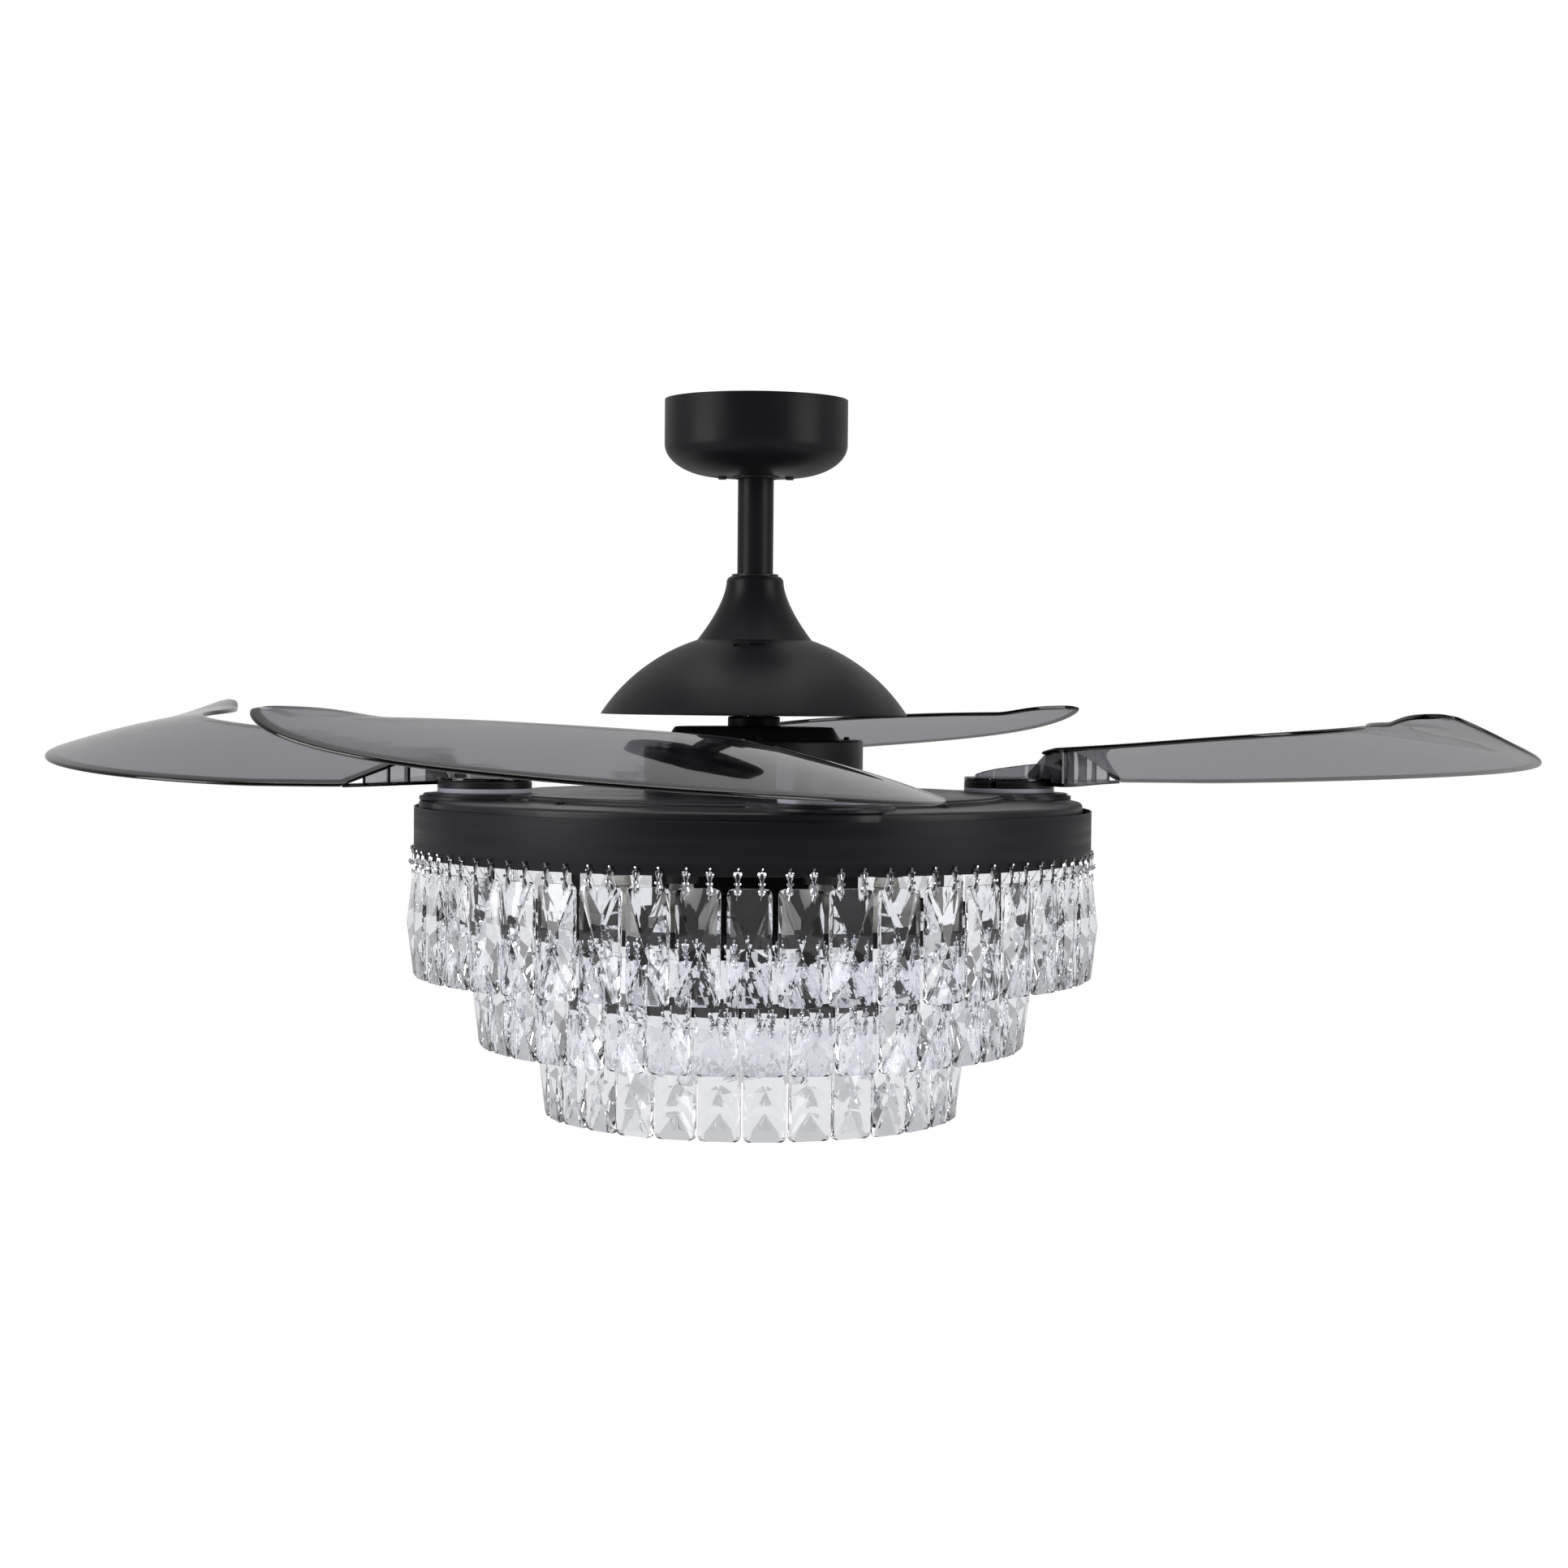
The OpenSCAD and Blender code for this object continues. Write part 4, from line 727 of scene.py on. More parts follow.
def arch_r(psi):
    """Radius of the arch, the skin's outer edge over the root."""
    return edge_in(psi) + arch_share(psi) * (edge_out(psi) - edge_in(psi))


def plan_of(r, psi):
    """Folded place of a blade point, seen from above: x = r cos psi, y = -r sin psi."""
    sine, cosine = deg(psi)
    return np.stack([r * cosine, -r * sine], -1)


def spread(points, k):
    """Turns folded points out about the pivot, and round to blade k."""
    return turned(turned(points, FOLD, (PIVOT_R, 0.0)), PIVOT_TURN + 90 * (k - 1))


def blade_skin(sizes):
    """Clear skin: at each psi a closed loop runs out over the top, round the outer rim, back under and
    round the inner rim, which is deeper. It thins to nothing at both ends of the blade, which close so."""
    half, closing = sizes.skin / 2, 0.45
    quarter = np.linspace(0, np.pi / 2, 5)
    psi = np.concatenate([
        (ROOT_PSI + closing * (1 - np.cos(quarter)))[:-1],
        np.linspace(ROOT_PSI + closing, ROUND_PSI, 96)[:-1],
        ROUND_PSI + (TIP_PSI - ROUND_PSI) * np.sin(np.linspace(0, np.pi / 2, 46))])
    thin = np.ones_like(psi)
    thin[:5] = np.sin(quarter)
    thin[-6:] = np.cos(np.linspace(0, np.pi / 2, 6))
    columns, bead = 26, 7
    sine, cosine = deg(np.linspace(90, -90, bead + 2)[1:-1])
    # Painted shade: the two columns nearest each edge, on top and under, and the rounded rims are painted
    # dark
    shaded_columns = np.zeros(columns)
    shaded_columns[[0, 1, -2, -1]] = 1.0
    painted_shade = np.concatenate([shaded_columns, np.ones(bead), shaded_columns, np.ones(bead)])
    lift = np.concatenate([np.ones(columns), sine, -np.ones(columns), -sine])
    push = np.concatenate([np.zeros(columns), cosine, np.zeros(columns), -cosine])
    p, width = psi[:, None], (edge_out(psi) - edge_in(psi))[:, None]
    filled = width * arch_share(p)
    inset = np.minimum(half, filled * 0.3)
    band = np.minimum(SHADED_RIM_BAND / filled, 0.3)
    across = np.concatenate([0 * band, 0.75 * band, band + (1 - 2 * band) * np.linspace(0, 1, columns - 4),
                             1 - 0.75 * band, 1 + 0 * band], 1)
    edge = np.ones((len(psi), bead))
    share = np.concatenate([across, edge, across[:, ::-1], 0 * edge], 1)
    r = edge_in(p) + inset + share * (filled - 2 * inset) + push * inset
    deeper = sizes.rim_drop * np.clip(1 - (r - edge_in(p)) / RIM_W, 0, 1) ** 2
    half_here = half + deeper / 2
    middle = skin_top(p, np.clip((r - edge_in(p)) / width, 0, 1), sizes) - half_here
    z = middle + lift * half_here * thin[:, None]
    points = np.concatenate([plan_of(r, p), z[..., None]], -1)
    return points.reshape(-1, 3), grid_quads(len(psi), len(painted_shade)), np.tile(painted_shade, len(psi))


def slab(outline, low, high, lip):
    """A flat plate between two heights, its edges rounded by drawing the outline in towards each face."""
    along = np.roll(outline, -1, 0) - np.roll(outline, 1, 0)
    along /= np.linalg.norm(along, axis=1)[:, None]
    inward = np.column_stack([-along[:, 1], along[:, 0]])
    turns = ((lip, low), (lip * 0.3, low + lip * 0.3), (0, low + lip), (0, high - lip),
             (lip * 0.3, high - lip * 0.3), (lip, high))
    rings = [np.column_stack([outline + inward * drawn, np.full(len(outline), z)]) for drawn, z in turns]
    return np.concatenate(rings), capped(len(rings), len(outline))


def strip(middle, across, top, bottom):
    """An upright wall: middle (n, 2) is its line in plan, across its half thickness, top and bottom its
    heights. Each station is a loop of seven points with a rounded top edge."""
    along = np.gradient(middle, axis=0)
    along /= np.linalg.norm(along, axis=1)[:, None]
    side = np.column_stack([-along[:, 1], along[:, 0]])
    loops = []
    for out, level, drop in ((-1, 0, 0), (-1, 1, 0.8), (-0.7, 1, 0.25), (0, 1, 0), (0.7, 1, 0.25),
                             (1, 1, 0.8), (1, 0, 0)):
        z = bottom + (top - bottom) * level - drop
        loops.append(np.column_stack([middle + side * across * out, np.maximum(z, bottom)]))
    points = np.stack(loops, 1)
    return points.reshape(-1, 3), capped(*points.shape[:2])


def root_plate_in(psi):
    """Inner edge of the flat plate under a blade's root. It tapers out where the arch meets the low edge."""
    return arch_r(psi) - 3 - 22 * np.clip(1 - (psi - ROOT_PSI) / (ARCH_PSI - ROOT_PSI), 0, 1) ** 0.7


def blade_root(sizes):
    """What stands under the skin at the root: the disc on the hub, the tapering flat plate, five ribs up to
    the skin, a thin wall behind them and the curved fin, which rises along the disc to the first rib."""
    hub_top = heights("pivot_hub_1")[1]
    disc_top = hub_top + 3
    points, faces = lathe(filleted([
        (0, hub_top + LIFT), (DISC_R, hub_top + LIFT, 0.8), (DISC_R, disc_top, 0.9), (0, disc_top)]), 120)
    outer, inner = np.arange(2.6, 29.9, 0.9), np.arange(29.2, 2.2, -0.9)
    outline = np.concatenate([plan_of(arch_r(outer), outer), plan_of(root_plate_in(inner), inner)])
    parts = [((points + [PIVOT_R, 0, 0], faces), DISC_SHADE),
             (slab(beside_hub(outline), PLATE_LOW, PLATE_HIGH, 0.5), PLATE_SHADE)]
    for i, psi in enumerate(RIB_PSIS):
        end = arch_r(psi) - 0.8
        r = np.linspace(root_plate_in(psi) + 1, end, 16)
        top = under_skin(psi, r, sizes)
        if i < len(RIB_FEET):
            slope = np.linspace(0, 1, 14)[1:]
            r = np.concatenate([r, end + (RIB_FEET[i] - end) * slope])
            top = np.concatenate([top, top[-1] + (disc_top - 0.3 - top[-1]) * slope])
        line = plan_of(r, psi)
        on_disc = np.linalg.norm(line - [PIVOT_R, 0], axis=1) < DISC_REACH
        bottom = np.where(on_disc, hub_top + 1, PLATE_LOW + 0.5)
        parts.append((strip(line, 1.0, np.maximum(top, bottom + 0.4), bottom), RIB_SHADE))
    psi = np.linspace(3.6, 25.6, 30)
    r = np.maximum(root_plate_in(psi) + 1.2, edge_in(psi) + 1.5)
    wall = strip(beside_hub(plan_of(r, psi)), 0.6, under_skin(psi, r, sizes), PLATE_LOW + 0.5)
    parts.append((wall, WALL_SHADE))
    start, stop = 68, 204
    turn = np.linspace(start, stop, 48)
    sine, cosine = deg(turn)
    line = np.stack([PIVOT_R + FIN_R * cosine, FIN_R * sine], -1)
    rise = 2.5 + 9.2 * np.sin(np.radians(90 * (turn - start) / (stop - start)))
    parts.append((strip(line, 1.25, disc_top + rise, hub_top + 1), FIN_SHADE))
    # Each part's share of painted shade, the dark painted where the clear plastic traps light
    painted_shade = np.concatenate([np.full(len(shape[0]), share) for shape, share in parts])
    return *joined([shape for shape, _ in parts]), painted_shade


def beside_hub(plan):
    """Points of a plan pushed out of the circle that the hub's flange fills."""
    pivot = np.array([PIVOT_R, 0])
    away = plan - pivot
    gap = np.linalg.norm(away, axis=1)
    return pivot + away * (np.maximum(gap, FLANGE_R) / gap)[:, None]


class FAN_OT_blades(bpy.types.Operator):
    """Four smoke clear blades: cambered crescent skins with rounded rims, ribbed roots and raised tips"""
    bl_idname = "fan.blades"
    bl_label = "Blades"

    def execute(self, context):
        sizes = context.scene.fan_sizes
        smoke = finish_of("smoke")
        made = (("skin", blade_skin(sizes), 50.0), ("root", blade_root(sizes), 32.0))
        for k in BLADES:
            for part, (points, faces, painted_shade), sharp in made:
                put(f"blade_{part}_{k}", spread(points, k), faces, smoke, f"blade_{k}", [f"blade_{k}"],
                    "smoke_blade", sharp, painted_shade)
        return {"FINISHED"}


# ------------------------------------------------------------------ drum and light kit

BAND_WALL, RING_WALL = 1.4, 1.2
PAN_LOW, PAN_FLOOR = -348, -346
LAMPS, LAMP_CIRCLE = 6, 108.0
LAMP_FOOT, LAMP_WIDEST, LAMP_TIP = -382, -404, -440


def candle_lamp():
    """A candle lamp: a short neck, then a flame that narrows from 17 mm by t, its turn from widest to tip:
    r = 5 (1 - t) + 12 cos(90 t) cos(45 t), falling by the sine of 90 t."""
    turn = np.linspace(0, 90, 22)
    sine, cosine = deg(turn)
    r = 5 * (1 - turn / 90) + 12 * cosine * np.cos(np.radians(turn / 2))
    flame = np.stack([r, LAMP_WIDEST - (LAMP_WIDEST - LAMP_TIP) * sine], -1)
    neck = filleted([(0, LAMP_FOOT), (9, LAMP_FOOT, 0.5), (11, -392, 3)])
    return lathe(np.concatenate([neck, flame, [[0, LAMP_TIP]]])[::-1], 48)


class FAN_OT_drum(bpy.types.Operator):
    """Drum band, the pan that closes it, both crystal rings, the hub, the lamp holders and the lamps"""
    bl_idname = "fan.drum"
    bl_label = "Drum and light kit"

    def execute(self, context):
        coat, band_coat = finish_of("powder_coat"), finish_of("band_coat")
        low, high = heights("drum_band")
        band = outer_radius("drum_band")
        pan = band - BAND_WALL
        put("drum_band_rolled", *pipe(pan, band, low, high, 0.35, 0.5, 3, 320), band_coat, "hanger",
            ["drum_band"], "black_coat")
        put("light_pan_spun", *lathe(filleted([
            (8, PAN_LOW, 0.3), (pan, PAN_LOW, 1.6), (pan, -338, 0.3), (pan - BAND_WALL, -338, 0.3),
            (pan - BAND_WALL, PAN_FLOOR, 0.8), (90, PAN_FLOOR, 0.8), (90, -343, 0.6), (86, -343, 0.6),
            (86, PAN_FLOOR, 0.8), (20, PAN_FLOOR, 0.8), (20, -341, 0.8), (8, -341, 0.3)], 3), 200),
            coat, "hanger", ["light_pan"], "black_alloy")
        for node in ("ring_2", "ring_3"):
            low, high = heights(node)
            ring = outer_radius(node)
            put(f"crystal_{node}", *pipe(ring - RING_WALL, ring, low, high, 0.3, 0.5, 3, 256), coat, "hanger",
                [node], "black_coat")
        low, high = heights("light_hub")
        hub = outer_radius("light_hub")
        put("light_hub_spun", *lathe(filleted([
            (hub, high), (hub, low, 4.0), (0, low), (0, low + SHEET), (hub - SHEET, low + SHEET, 3.0),
            (hub - SHEET, high)], 6)[::-1], 160), finish_of("hub_paint_and_shade"), "hanger", ["light_hub"],
            "black_coat")
        socket = lathe(filleted([
            (0, PAN_LOW), (0, LAMP_FOOT), (13.5, LAMP_FOOT, 0.8), (13.5, -353, 1.5), (17, -350, 0.6),
            (17, PAN_LOW)]), 48)
        put("lamp_sockets", *joined(ring_of(socket, LAMP_CIRCLE, LAMPS)), finish_of("black_plastic"),
            "hanger", ["lamp_holders"], "black_coat")
        put("candle_lamps", *joined(ring_of(candle_lamp(), LAMP_CIRCLE, LAMPS)), finish_of("lamp"),
            "hanger", ["lamps"], "lamp_glass")
        return {"FINISHED"}


# ------------------------------------------------------------------ crystals

TIERS = {  # radius, level of the tops, count, direction of the first
    1: (271.2, -374.0, 46, -89.8),
    2: (218.0, -430.5, 39, -87.0),
    3: (165.0, -487.0, 30, -85.7),
}
CRYSTAL_W, CRYSTAL_H = 32.5, 85.0
CORNER, CORNER_MID = 4.0, 1.2
GIRDLE_FRONT, GIRDLE_BACK = 0.2, -2.8
BEVEL_W, BEVEL_BACK = 3.2, -3.9
HEART_Z = -2.5
RIDGE_END = 22.0
FLANK_POINTS, STEP = 6, 0.35
LEAN, TWIST, CRYSTAL_SETBACK = 0.5, 2.2, 0.2
CLIP_STANDS, CLIP_ASIDE, CLIP_OVERLAP, CLIP_HALF_H = 0.7, 8.6, 5, 8.75


def crystal(depth):
    """One cut crystal about its own middle, X right, Y outwards, Z up. In front, facets from the outline
    meet in one point a little under the middle, like an X. Behind, a bevel leads to a hip roof whose ridge
    stands upright. Ridge and eaves step in and out a little, so that each flank breaks into facets."""
    w, h = CRYSTAL_W / 2, CRYSTAL_H / 2
    flank = np.linspace(h - CORNER, CORNER - h, FLANK_POINTS)
    right = np.array([[w - CORNER, h], [w - CORNER_MID, h - CORNER_MID], *((w, z) for z in flank),
                      [w - CORNER_MID, CORNER_MID - h], [w - CORNER, -h]])
    outline = np.concatenate([right, right[::-1] * [-1, 1]])
    inner = outline * [1 - BEVEL_W / w, 1]
    n = len(outline)
    eaves = np.full(n, BEVEL_BACK)
    eaves[[3, 5, n - 4, n - 6]] -= STEP
    ridge = np.linspace(h - RIDGE_END, RIDGE_END - h, FLANK_POINTS - 1)
    deep = -depth / 2 + STEP * (np.arange(len(ridge)) % 2)

    def level(plan, y):
        """A loop of the outline, at these depths."""
        return np.column_stack([plan[:, 0], np.broadcast_to(y, n), plan[:, 1]])

    points = np.concatenate([
        level(outline, GIRDLE_FRONT), level(outline, GIRDLE_BACK), level(inner, eaves),
        [[0, depth / 2, HEART_Z]], np.column_stack([np.zeros_like(ridge), deep, ridge])])
    heart, first, last = 3 * n, 3 * n + 1, 3 * n + len(ridge)
    i = np.arange(n)
    fronts = np.stack([i, (i + 1) % n, np.full(n, heart)], -1)
    walls = grid_quads(3, n)
    back = 2 * n
    ends = [(back + a, back + (a + 1) % n, first) for a in (n - 3, n - 2, n - 1, 0, 1)]
    ends += [(back + a, back + a + 1, last) for a in range(FLANK_POINTS + 1, n - FLANK_POINTS - 2)]
    flanks = []
    for side in (back + 2 + np.arange(FLANK_POINTS), back + n - 3 - np.arange(FLANK_POINTS)):
        flanks += [(side[k], side[k + 1], first + k) for k in range(len(ridge))]
        flanks += [(side[k + 1], first + k + 1, first + k) for k in range(len(ridge) - 1)]
    return points, [np.concatenate([fronts, np.array(ends), np.array(flanks)]), walls]


def about_axis(x, out, z, angle):
    """Points x to the right of each direction, out along it and at height z: one row for each direction."""
    sine, cosine = np.sin(angle)[:, None], np.cos(angle)[:, None]
    return np.stack(np.broadcast_arrays(out * cosine + x * sine, out * sine - x * cosine, z), -1)


def hung(points, radius, top, angle, lean, twist):
    """Copies of a crystal hung round the axis, each leaning and twisting a little about its clips:
    first about X and Z through the top's middle, then out to the radius and round by its direction."""
    x, y, z = (points + [0, 0, -CRYSTAL_H / 2]).T
    lean, twist = np.radians(lean)[:, None], np.radians(twist)[:, None]
    y, z = y * np.cos(lean) - z * np.sin(lean), y * np.sin(lean) + z * np.cos(lean)
    x, y = x * np.cos(twist) - y * np.sin(twist), x * np.sin(twist) + y * np.cos(twist)
    return about_axis(x, radius - CRYSTAL_SETBACK + y, top + z, angle)


def clip(depth):
    """One pressed clip about its own middle, X right, Y outwards, Z up: loops up its height whose half width
    flares into a fluted fan at both ends, two balls at the waist, a ball headed pin whose tail runs in and
    down behind, and a hook below."""
    level = np.array([-CLIP_HALF_H, -7.4, -5.4, -1.6, 1.4, 6.4, 8.1, CLIP_HALF_H])
    half = np.array([0.8, 2.4, 2.7, 1.2, 1.2, 3.1, 2.7, 1.2])
    thick = np.array([0.5, 0.9, 1.0, 1.2, 1.2, 1.1, 0.9, 0.5])
    side = np.array([-1, -0.5, -0.25, 0, 0.25, 0.5, 1])
    front = np.array([0.1, 1.0, 0.55, 1.15, 0.55, 1.0, 0.1])
    shell = np.stack(np.broadcast_arrays(half[:, None] * side, thick[:, None] * front, level[:, None]), -1)
    body = (shell.reshape(-1, 3), capped(len(level), len(side)))
    bead = depth * 0.4
    return joined([body, *(ball((x, depth - bead, 0.0), bead) for x in (-bead, bead)),
                   ball((0.0, 1.0, 10.6), 1.25),
                   wire([(0, 0.9, 10), (0, 0.5, 8)], 0.4),
                   wire([(0.2, 0.6, -7.5), (0.9, 1.2, -11.8)], 0.35),
                   wire([(0, -1, 7), (0, -10.5, -6)], 0.4)])


def ball(centre, radius, rings=4, around=7):
    """A small ball: rings of latitude from pole to pole, closed at both."""
    sine, cosine = deg(np.linspace(-88, 88, rings))
    angle = np.arange(around) * 2 * np.pi / around
    points = np.stack([np.outer(cosine, np.cos(angle)), np.outer(cosine, np.sin(angle)),
                       np.outer(sine, np.ones(around))], -1) * radius + np.array(centre)
    return points.reshape(-1, 3), capped(rings, around)


def wire(line, radius, around=4):
    """A straight wire: a loop about each end of the line, square to it."""
    line = np.array(line, float)
    along = line[-1] - line[0]
    along /= np.linalg.norm(along)
    side = np.cross(along, [0, 1, 0])
    side /= np.linalg.norm(side)
    angle = np.arange(around)[:, None] * 2 * np.pi / around
    loop = radius * (np.cos(angle) * side + np.sin(angle) * np.cross(side, along))
    return np.concatenate([p + loop for p in line]), capped(len(line), around)


def copies(place, faces):
    """Faces of a shape repeated once for each row of a (copies, points, 3) array."""
    count, n = place.shape[:2]
    blocks = [np.concatenate([np.asarray(f) + i * n for i in range(count)]) for f in faces]
    return place.reshape(-1, 3), blocks


class FAN_OT_crystals(bpy.types.Operator):
    """Three tiers of cut crystals, each hung a little unevenly by two clips"""
    bl_idname = "fan.crystals"
    bl_label = "Crystals and clips"

    def execute(self, context):
        sizes = context.scene.fan_sizes
        cut, chrome = finish_of("crystal"), finish_of("chrome")
        points, faces = crystal(sizes.crystal_depth)
        clip_points, clip_faces = clip(sizes.clip_depth)
        for tier, (radius, top, count, turn) in TIERS.items():
            random = np.random.default_rng(40 + tier)
            lean = random.uniform(-LEAN, LEAN, count)
            twist = random.uniform(-TWIST, TWIST, count)
            angle = np.radians(turn + np.arange(count) * 360 / count)
            piece = put(f"cut_crystals_{tier}", *copies(hung(points, radius, top, angle, lean, twist), faces),
                        cut, "hanger", [f"crystals_tier_{tier}"], "crystal_glass", sharp=1)
            piece.data.polygons.foreach_set("use_smooth", np.zeros(len(piece.data.polygons), bool))
            x, y, z = clip_points.T
            z = top - CLIP_OVERLAP + CLIP_HALF_H + z
            place = [about_axis(x + side, radius + CLIP_STANDS + y, z, angle)
                     for side in (-CLIP_ASIDE, CLIP_ASIDE)]
            put(f"crystal_clips_{tier}", *copies(np.concatenate(place), clip_faces), chrome, "hanger",
                [f"clips_tier_{tier}"], "chrome_clip", sharp=40)
        return {"FINISHED"}


# ------------------------------------------------------------------ plain nodes that stay

STAYING = {
    "zinc": ("ceiling_bracket", "motor_coupling", "rotor_ring"),
    "turned_steel": ("ball_cross_pin", "coupling_pin", "dome_screws", "motor_shaft", "shaft_nut",
                     "upper_bearing", "lower_bearing"),
    "laminations": ("stator_core",),
    "copper": ("stator_windings",),
    "nylon": ("hanger_ball", "sun_gear", "pinion_1", "pinion_2", "pinion_3", "pinion_4"),
    "black_plastic": ("canopy_screws", "reverse_switch_body", "reverse_switch_knob", "run_capacitor"),
    "enamel": ("pivot_hub_1", "pivot_hub_2", "pivot_hub_3", "pivot_hub_4"),
    "powder_coat": ("ring_hangers", "plate_cover", "can_screws", "plate_screws"),
}


class FAN_OT_inner_parts(bpy.types.Operator):
    """Gives the bracket, bearings, windings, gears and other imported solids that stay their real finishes"""
    bl_idname = "fan.inner_parts"
    bl_label = "Inner parts"

    def execute(self, context):
        for name, nodes in STAYING.items():
            for node in nodes:
                mesh = NODES[node].data
                mesh.materials.clear()
                mesh.materials.append(finish_of(name))
        return {"FINISHED"}


# ------------------------------------------------------------------ studio

SOFT_BOXES = (  # name, place, aim, width, height, power
    ("Left soft box", (-2.3, -1.1, 0.35), (0, 0, -0.3), 1.3, 2.0, 34),
    ("Right soft box", (2.3, -1.1, 0.35), (0, 0, -0.3), 1.3, 2.0, 24),
    ("Overhead soft box", (0, 0.2, 2.2), (0, 0, 0), 2.4, 2.4, 30),
)
DIM, DULL_LIGHT, BACK_IN_GLOSS = 0.04, 0.50, 0.6
DIM_FROM, BRIGHT_FROM = -0.6, 0.8
FLOOR_HALF = 14.0
FLOOR_GLOW, FLOOR_SHARE, FLOOR_IN_GLASS = 1.10, 0.85, 0.70


def soft_box(name, place, aim, width, height, power):
    """A soft area lamp at a place, turned to face its aim."""
    light = bpy.data.lights.new(name, "AREA")
    light.shape, light.size, light.size_y, light.energy = "RECTANGLE", width, height, power
    lamp = bpy.data.objects.new(name, light)
    lamp.location = place
    lamp.rotation_euler = (Vector(aim) - Vector(place)).to_track_quat("-Z", "Y").to_euler()
    bpy.context.scene.collection.objects.link(lamp)


def studio_world():
    """White to the camera. Glass and gloss see it bright behind the fan, where the backdrop stands, a little
    less so in gloss, and dimmer round to the camera's side. Plain grey light reaches dull surfaces."""
    world = bpy.data.worlds.new("White studio")
    tree = bare_tree(world)
    path = add(tree, "ShaderNodeLightPath")
    shiny = add(tree, "ShaderNodeMath", {"operation": "MAXIMUM"},
                {0: path.outputs["Is Glossy Ray"], 1: path.outputs["Is Transmission Ray"]})
    way = add(tree, "ShaderNodeTexCoord")
    parts = add(tree, "ShaderNodeSeparateXYZ", None, {0: way.outputs["Generated"]})
    back = add(tree, "ShaderNodeMix", {"data_type": "FLOAT", 2: 1.0, 3: BACK_IN_GLOSS},
               {0: path.outputs["Is Glossy Ray"]})
    behind = add(tree, "ShaderNodeMapRange", {1: DIM_FROM, 2: BRIGHT_FROM, 3: DIM},
                 {0: parts.outputs["Y"], 4: back.outputs[0]})
    level = add(tree, "ShaderNodeMix", {"data_type": "FLOAT", 2: DULL_LIGHT},
                {0: shiny.outputs[0], 3: behind.outputs[0]})
    strength = add(tree, "ShaderNodeMix", {"data_type": "FLOAT", 3: 1.0},
                   {0: path.outputs["Is Camera Ray"], 2: level.outputs[0]})
    sky = add(tree, "ShaderNodeBackground", {"Color": (1, 1, 1, 1)}, {"Strength": strength.outputs[0]})
    add(tree, "ShaderNodeOutputWorld", None, {"Surface": sky.outputs[0]})
    return world


def floor_finish():
    """Matt white floor. To the camera, also through glass, most of it glows white so that it meets the
    backdrop, and the rest keeps the soft shadow of the fan."""
    material = bpy.data.materials.new("Matt white floor")
    tree = bare_tree(material)
    path = add(tree, "ShaderNodeLightPath")
    through = add(tree, "ShaderNodeMath", {"operation": "MULTIPLY", 1: FLOOR_IN_GLASS},
                  {0: path.outputs["Is Transmission Ray"]})
    seen = add(tree, "ShaderNodeMath", {"operation": "MAXIMUM"},
               {0: path.outputs["Is Camera Ray"], 1: through.outputs[0]})
    share = add(tree, "ShaderNodeMath", {"operation": "MULTIPLY", 1: FLOOR_SHARE}, {0: seen.outputs[0]})
    matt = add(tree, "ShaderNodeBsdfDiffuse", {"Color": linear("#e8e8e8")})
    white = add(tree, "ShaderNodeEmission", {"Color": (1, 1, 1, 1), "Strength": FLOOR_GLOW})
    both = add(tree, "ShaderNodeMixShader", None,
               {0: share.outputs[0], 1: matt.outputs[0], 2: white.outputs[0]})
    add(tree, "ShaderNodeOutputMaterial", None, {"Surface": both.outputs[0]})
    return material


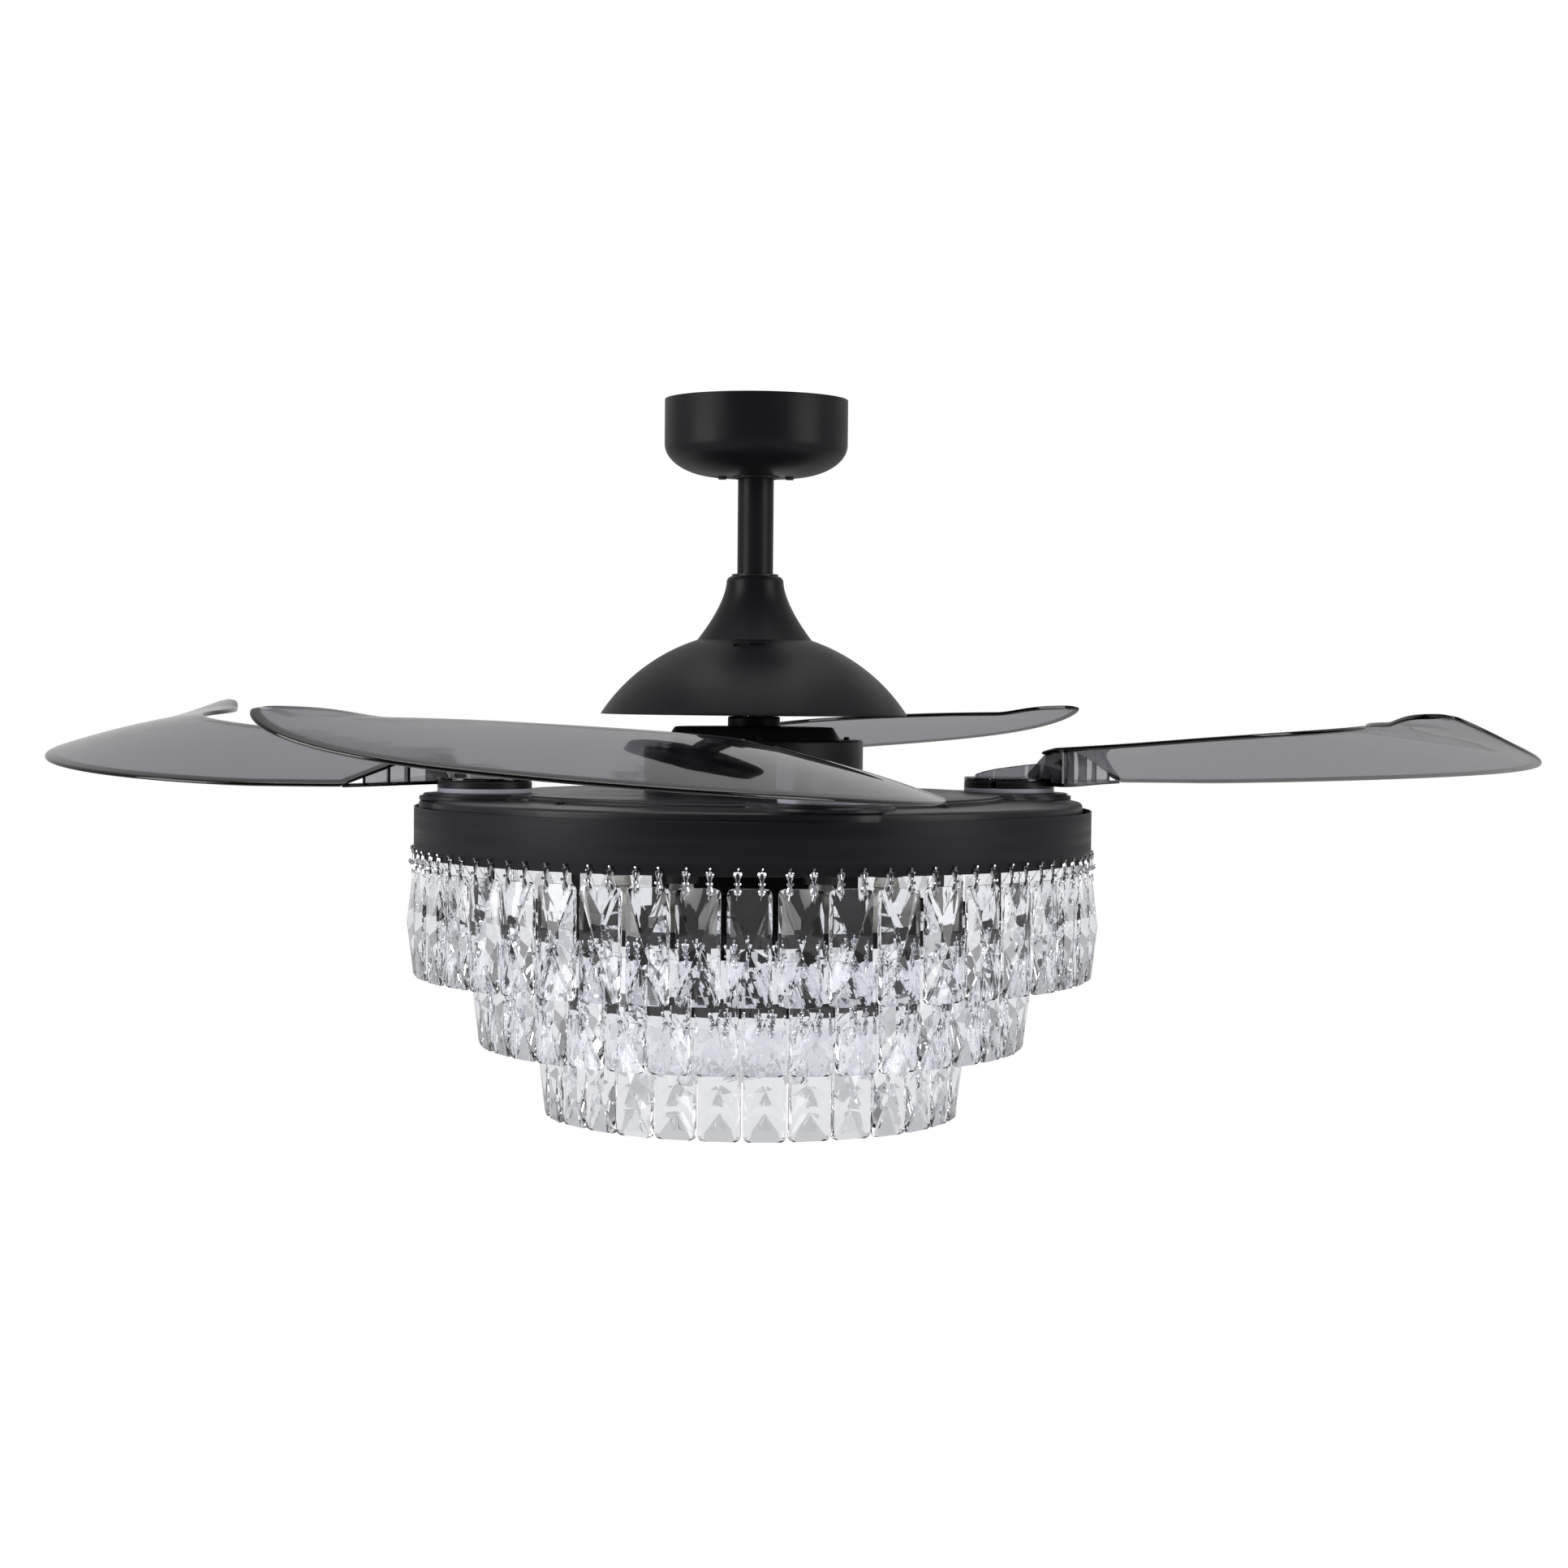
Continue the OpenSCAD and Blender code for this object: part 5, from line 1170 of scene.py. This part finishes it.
class FAN_OT_stage(bpy.types.Operator):
    """Pale floor, white backdrop, soft boxes and the camera"""
    bl_idname = "fan.stage"
    bl_label = "Studio"

    def execute(self, context):
        stage = context.scene.fan_stage
        scene = context.scene
        scene.view_settings.view_transform = "Standard"
        scene.cycles.max_bounces = 20
        scene.cycles.transmission_bounces = 20
        scene.cycles.transparent_max_bounces = 12
        scene.cycles.glossy_bounces = 8
        scene.world = studio_world()
        mesh = bpy.data.meshes.new("studio_floor")
        corners = ((-1, -1), (1, -1), (1, 1), (-1, 1))
        points = [(x * FLOOR_HALF, y * FLOOR_HALF, stage.floor) for x, y in corners]
        mesh.from_pydata(points, [], [(0, 1, 2, 3)])
        floor = bpy.data.objects.new("studio_floor", mesh)
        mesh.materials.append(floor_finish())
        scene.collection.objects.link(floor)
        for box in SOFT_BOXES:
            soft_box(*box)
        camera = bpy.data.cameras.new("Camera")
        camera.lens, camera.sensor_width = stage.lens, 36
        view = bpy.data.objects.new("Camera", camera)
        view.location = (stage.aside, -stage.distance, stage.eye)
        view.rotation_euler = (math.radians(90) - stage.pitch, -stage.roll, 0)
        scene.collection.objects.link(view)
        scene.camera = view
        return {"FINISHED"}


# ------------------------------------------------------------------ panel and run

OPERATORS = (FAN_OT_canopy, FAN_OT_dome, FAN_OT_motor, FAN_OT_carrier, FAN_OT_blades, FAN_OT_drum,
             FAN_OT_crystals, FAN_OT_inner_parts, FAN_OT_stage)


class FAN_PT_panel(bpy.types.Panel):
    """Sidebar panel that lists the fan's steps"""
    bl_label = "Ceiling fan"
    bl_idname = "FAN_PT_panel"
    bl_space_type = "VIEW_3D"
    bl_region_type = "UI"
    bl_category = "Fan"

    def draw(self, context):
        for group in (context.scene.fan_finishes, context.scene.fan_sizes, context.scene.fan_stage):
            box = self.layout.box()
            for key in group.__annotations__:
                box.prop(group, key)
        for operator in OPERATORS:
            self.layout.operator(operator.bl_idname)


CLASSES = (FanFinishes, FanSizes, FanStage, *OPERATORS, FAN_PT_panel)
GROUPS = {"fan_finishes": FanFinishes, "fan_sizes": FanSizes, "fan_stage": FanStage}


def register():
    for cls in CLASSES:
        bpy.utils.register_class(cls)
    for name, group in GROUPS.items():
        setattr(bpy.types.Scene, name, bpy.props.PointerProperty(type=group))


def unregister():
    for name in GROUPS:
        delattr(bpy.types.Scene, name)
    for cls in reversed(CLASSES):
        bpy.utils.unregister_class(cls)


def main():
    """Registers the add-on and runs every step in order."""
    register()
    for operator in OPERATORS:
        group, name = operator.bl_idname.split(".")
        getattr(getattr(bpy.ops, group), name)()


if __name__ == "__main__":
    main()
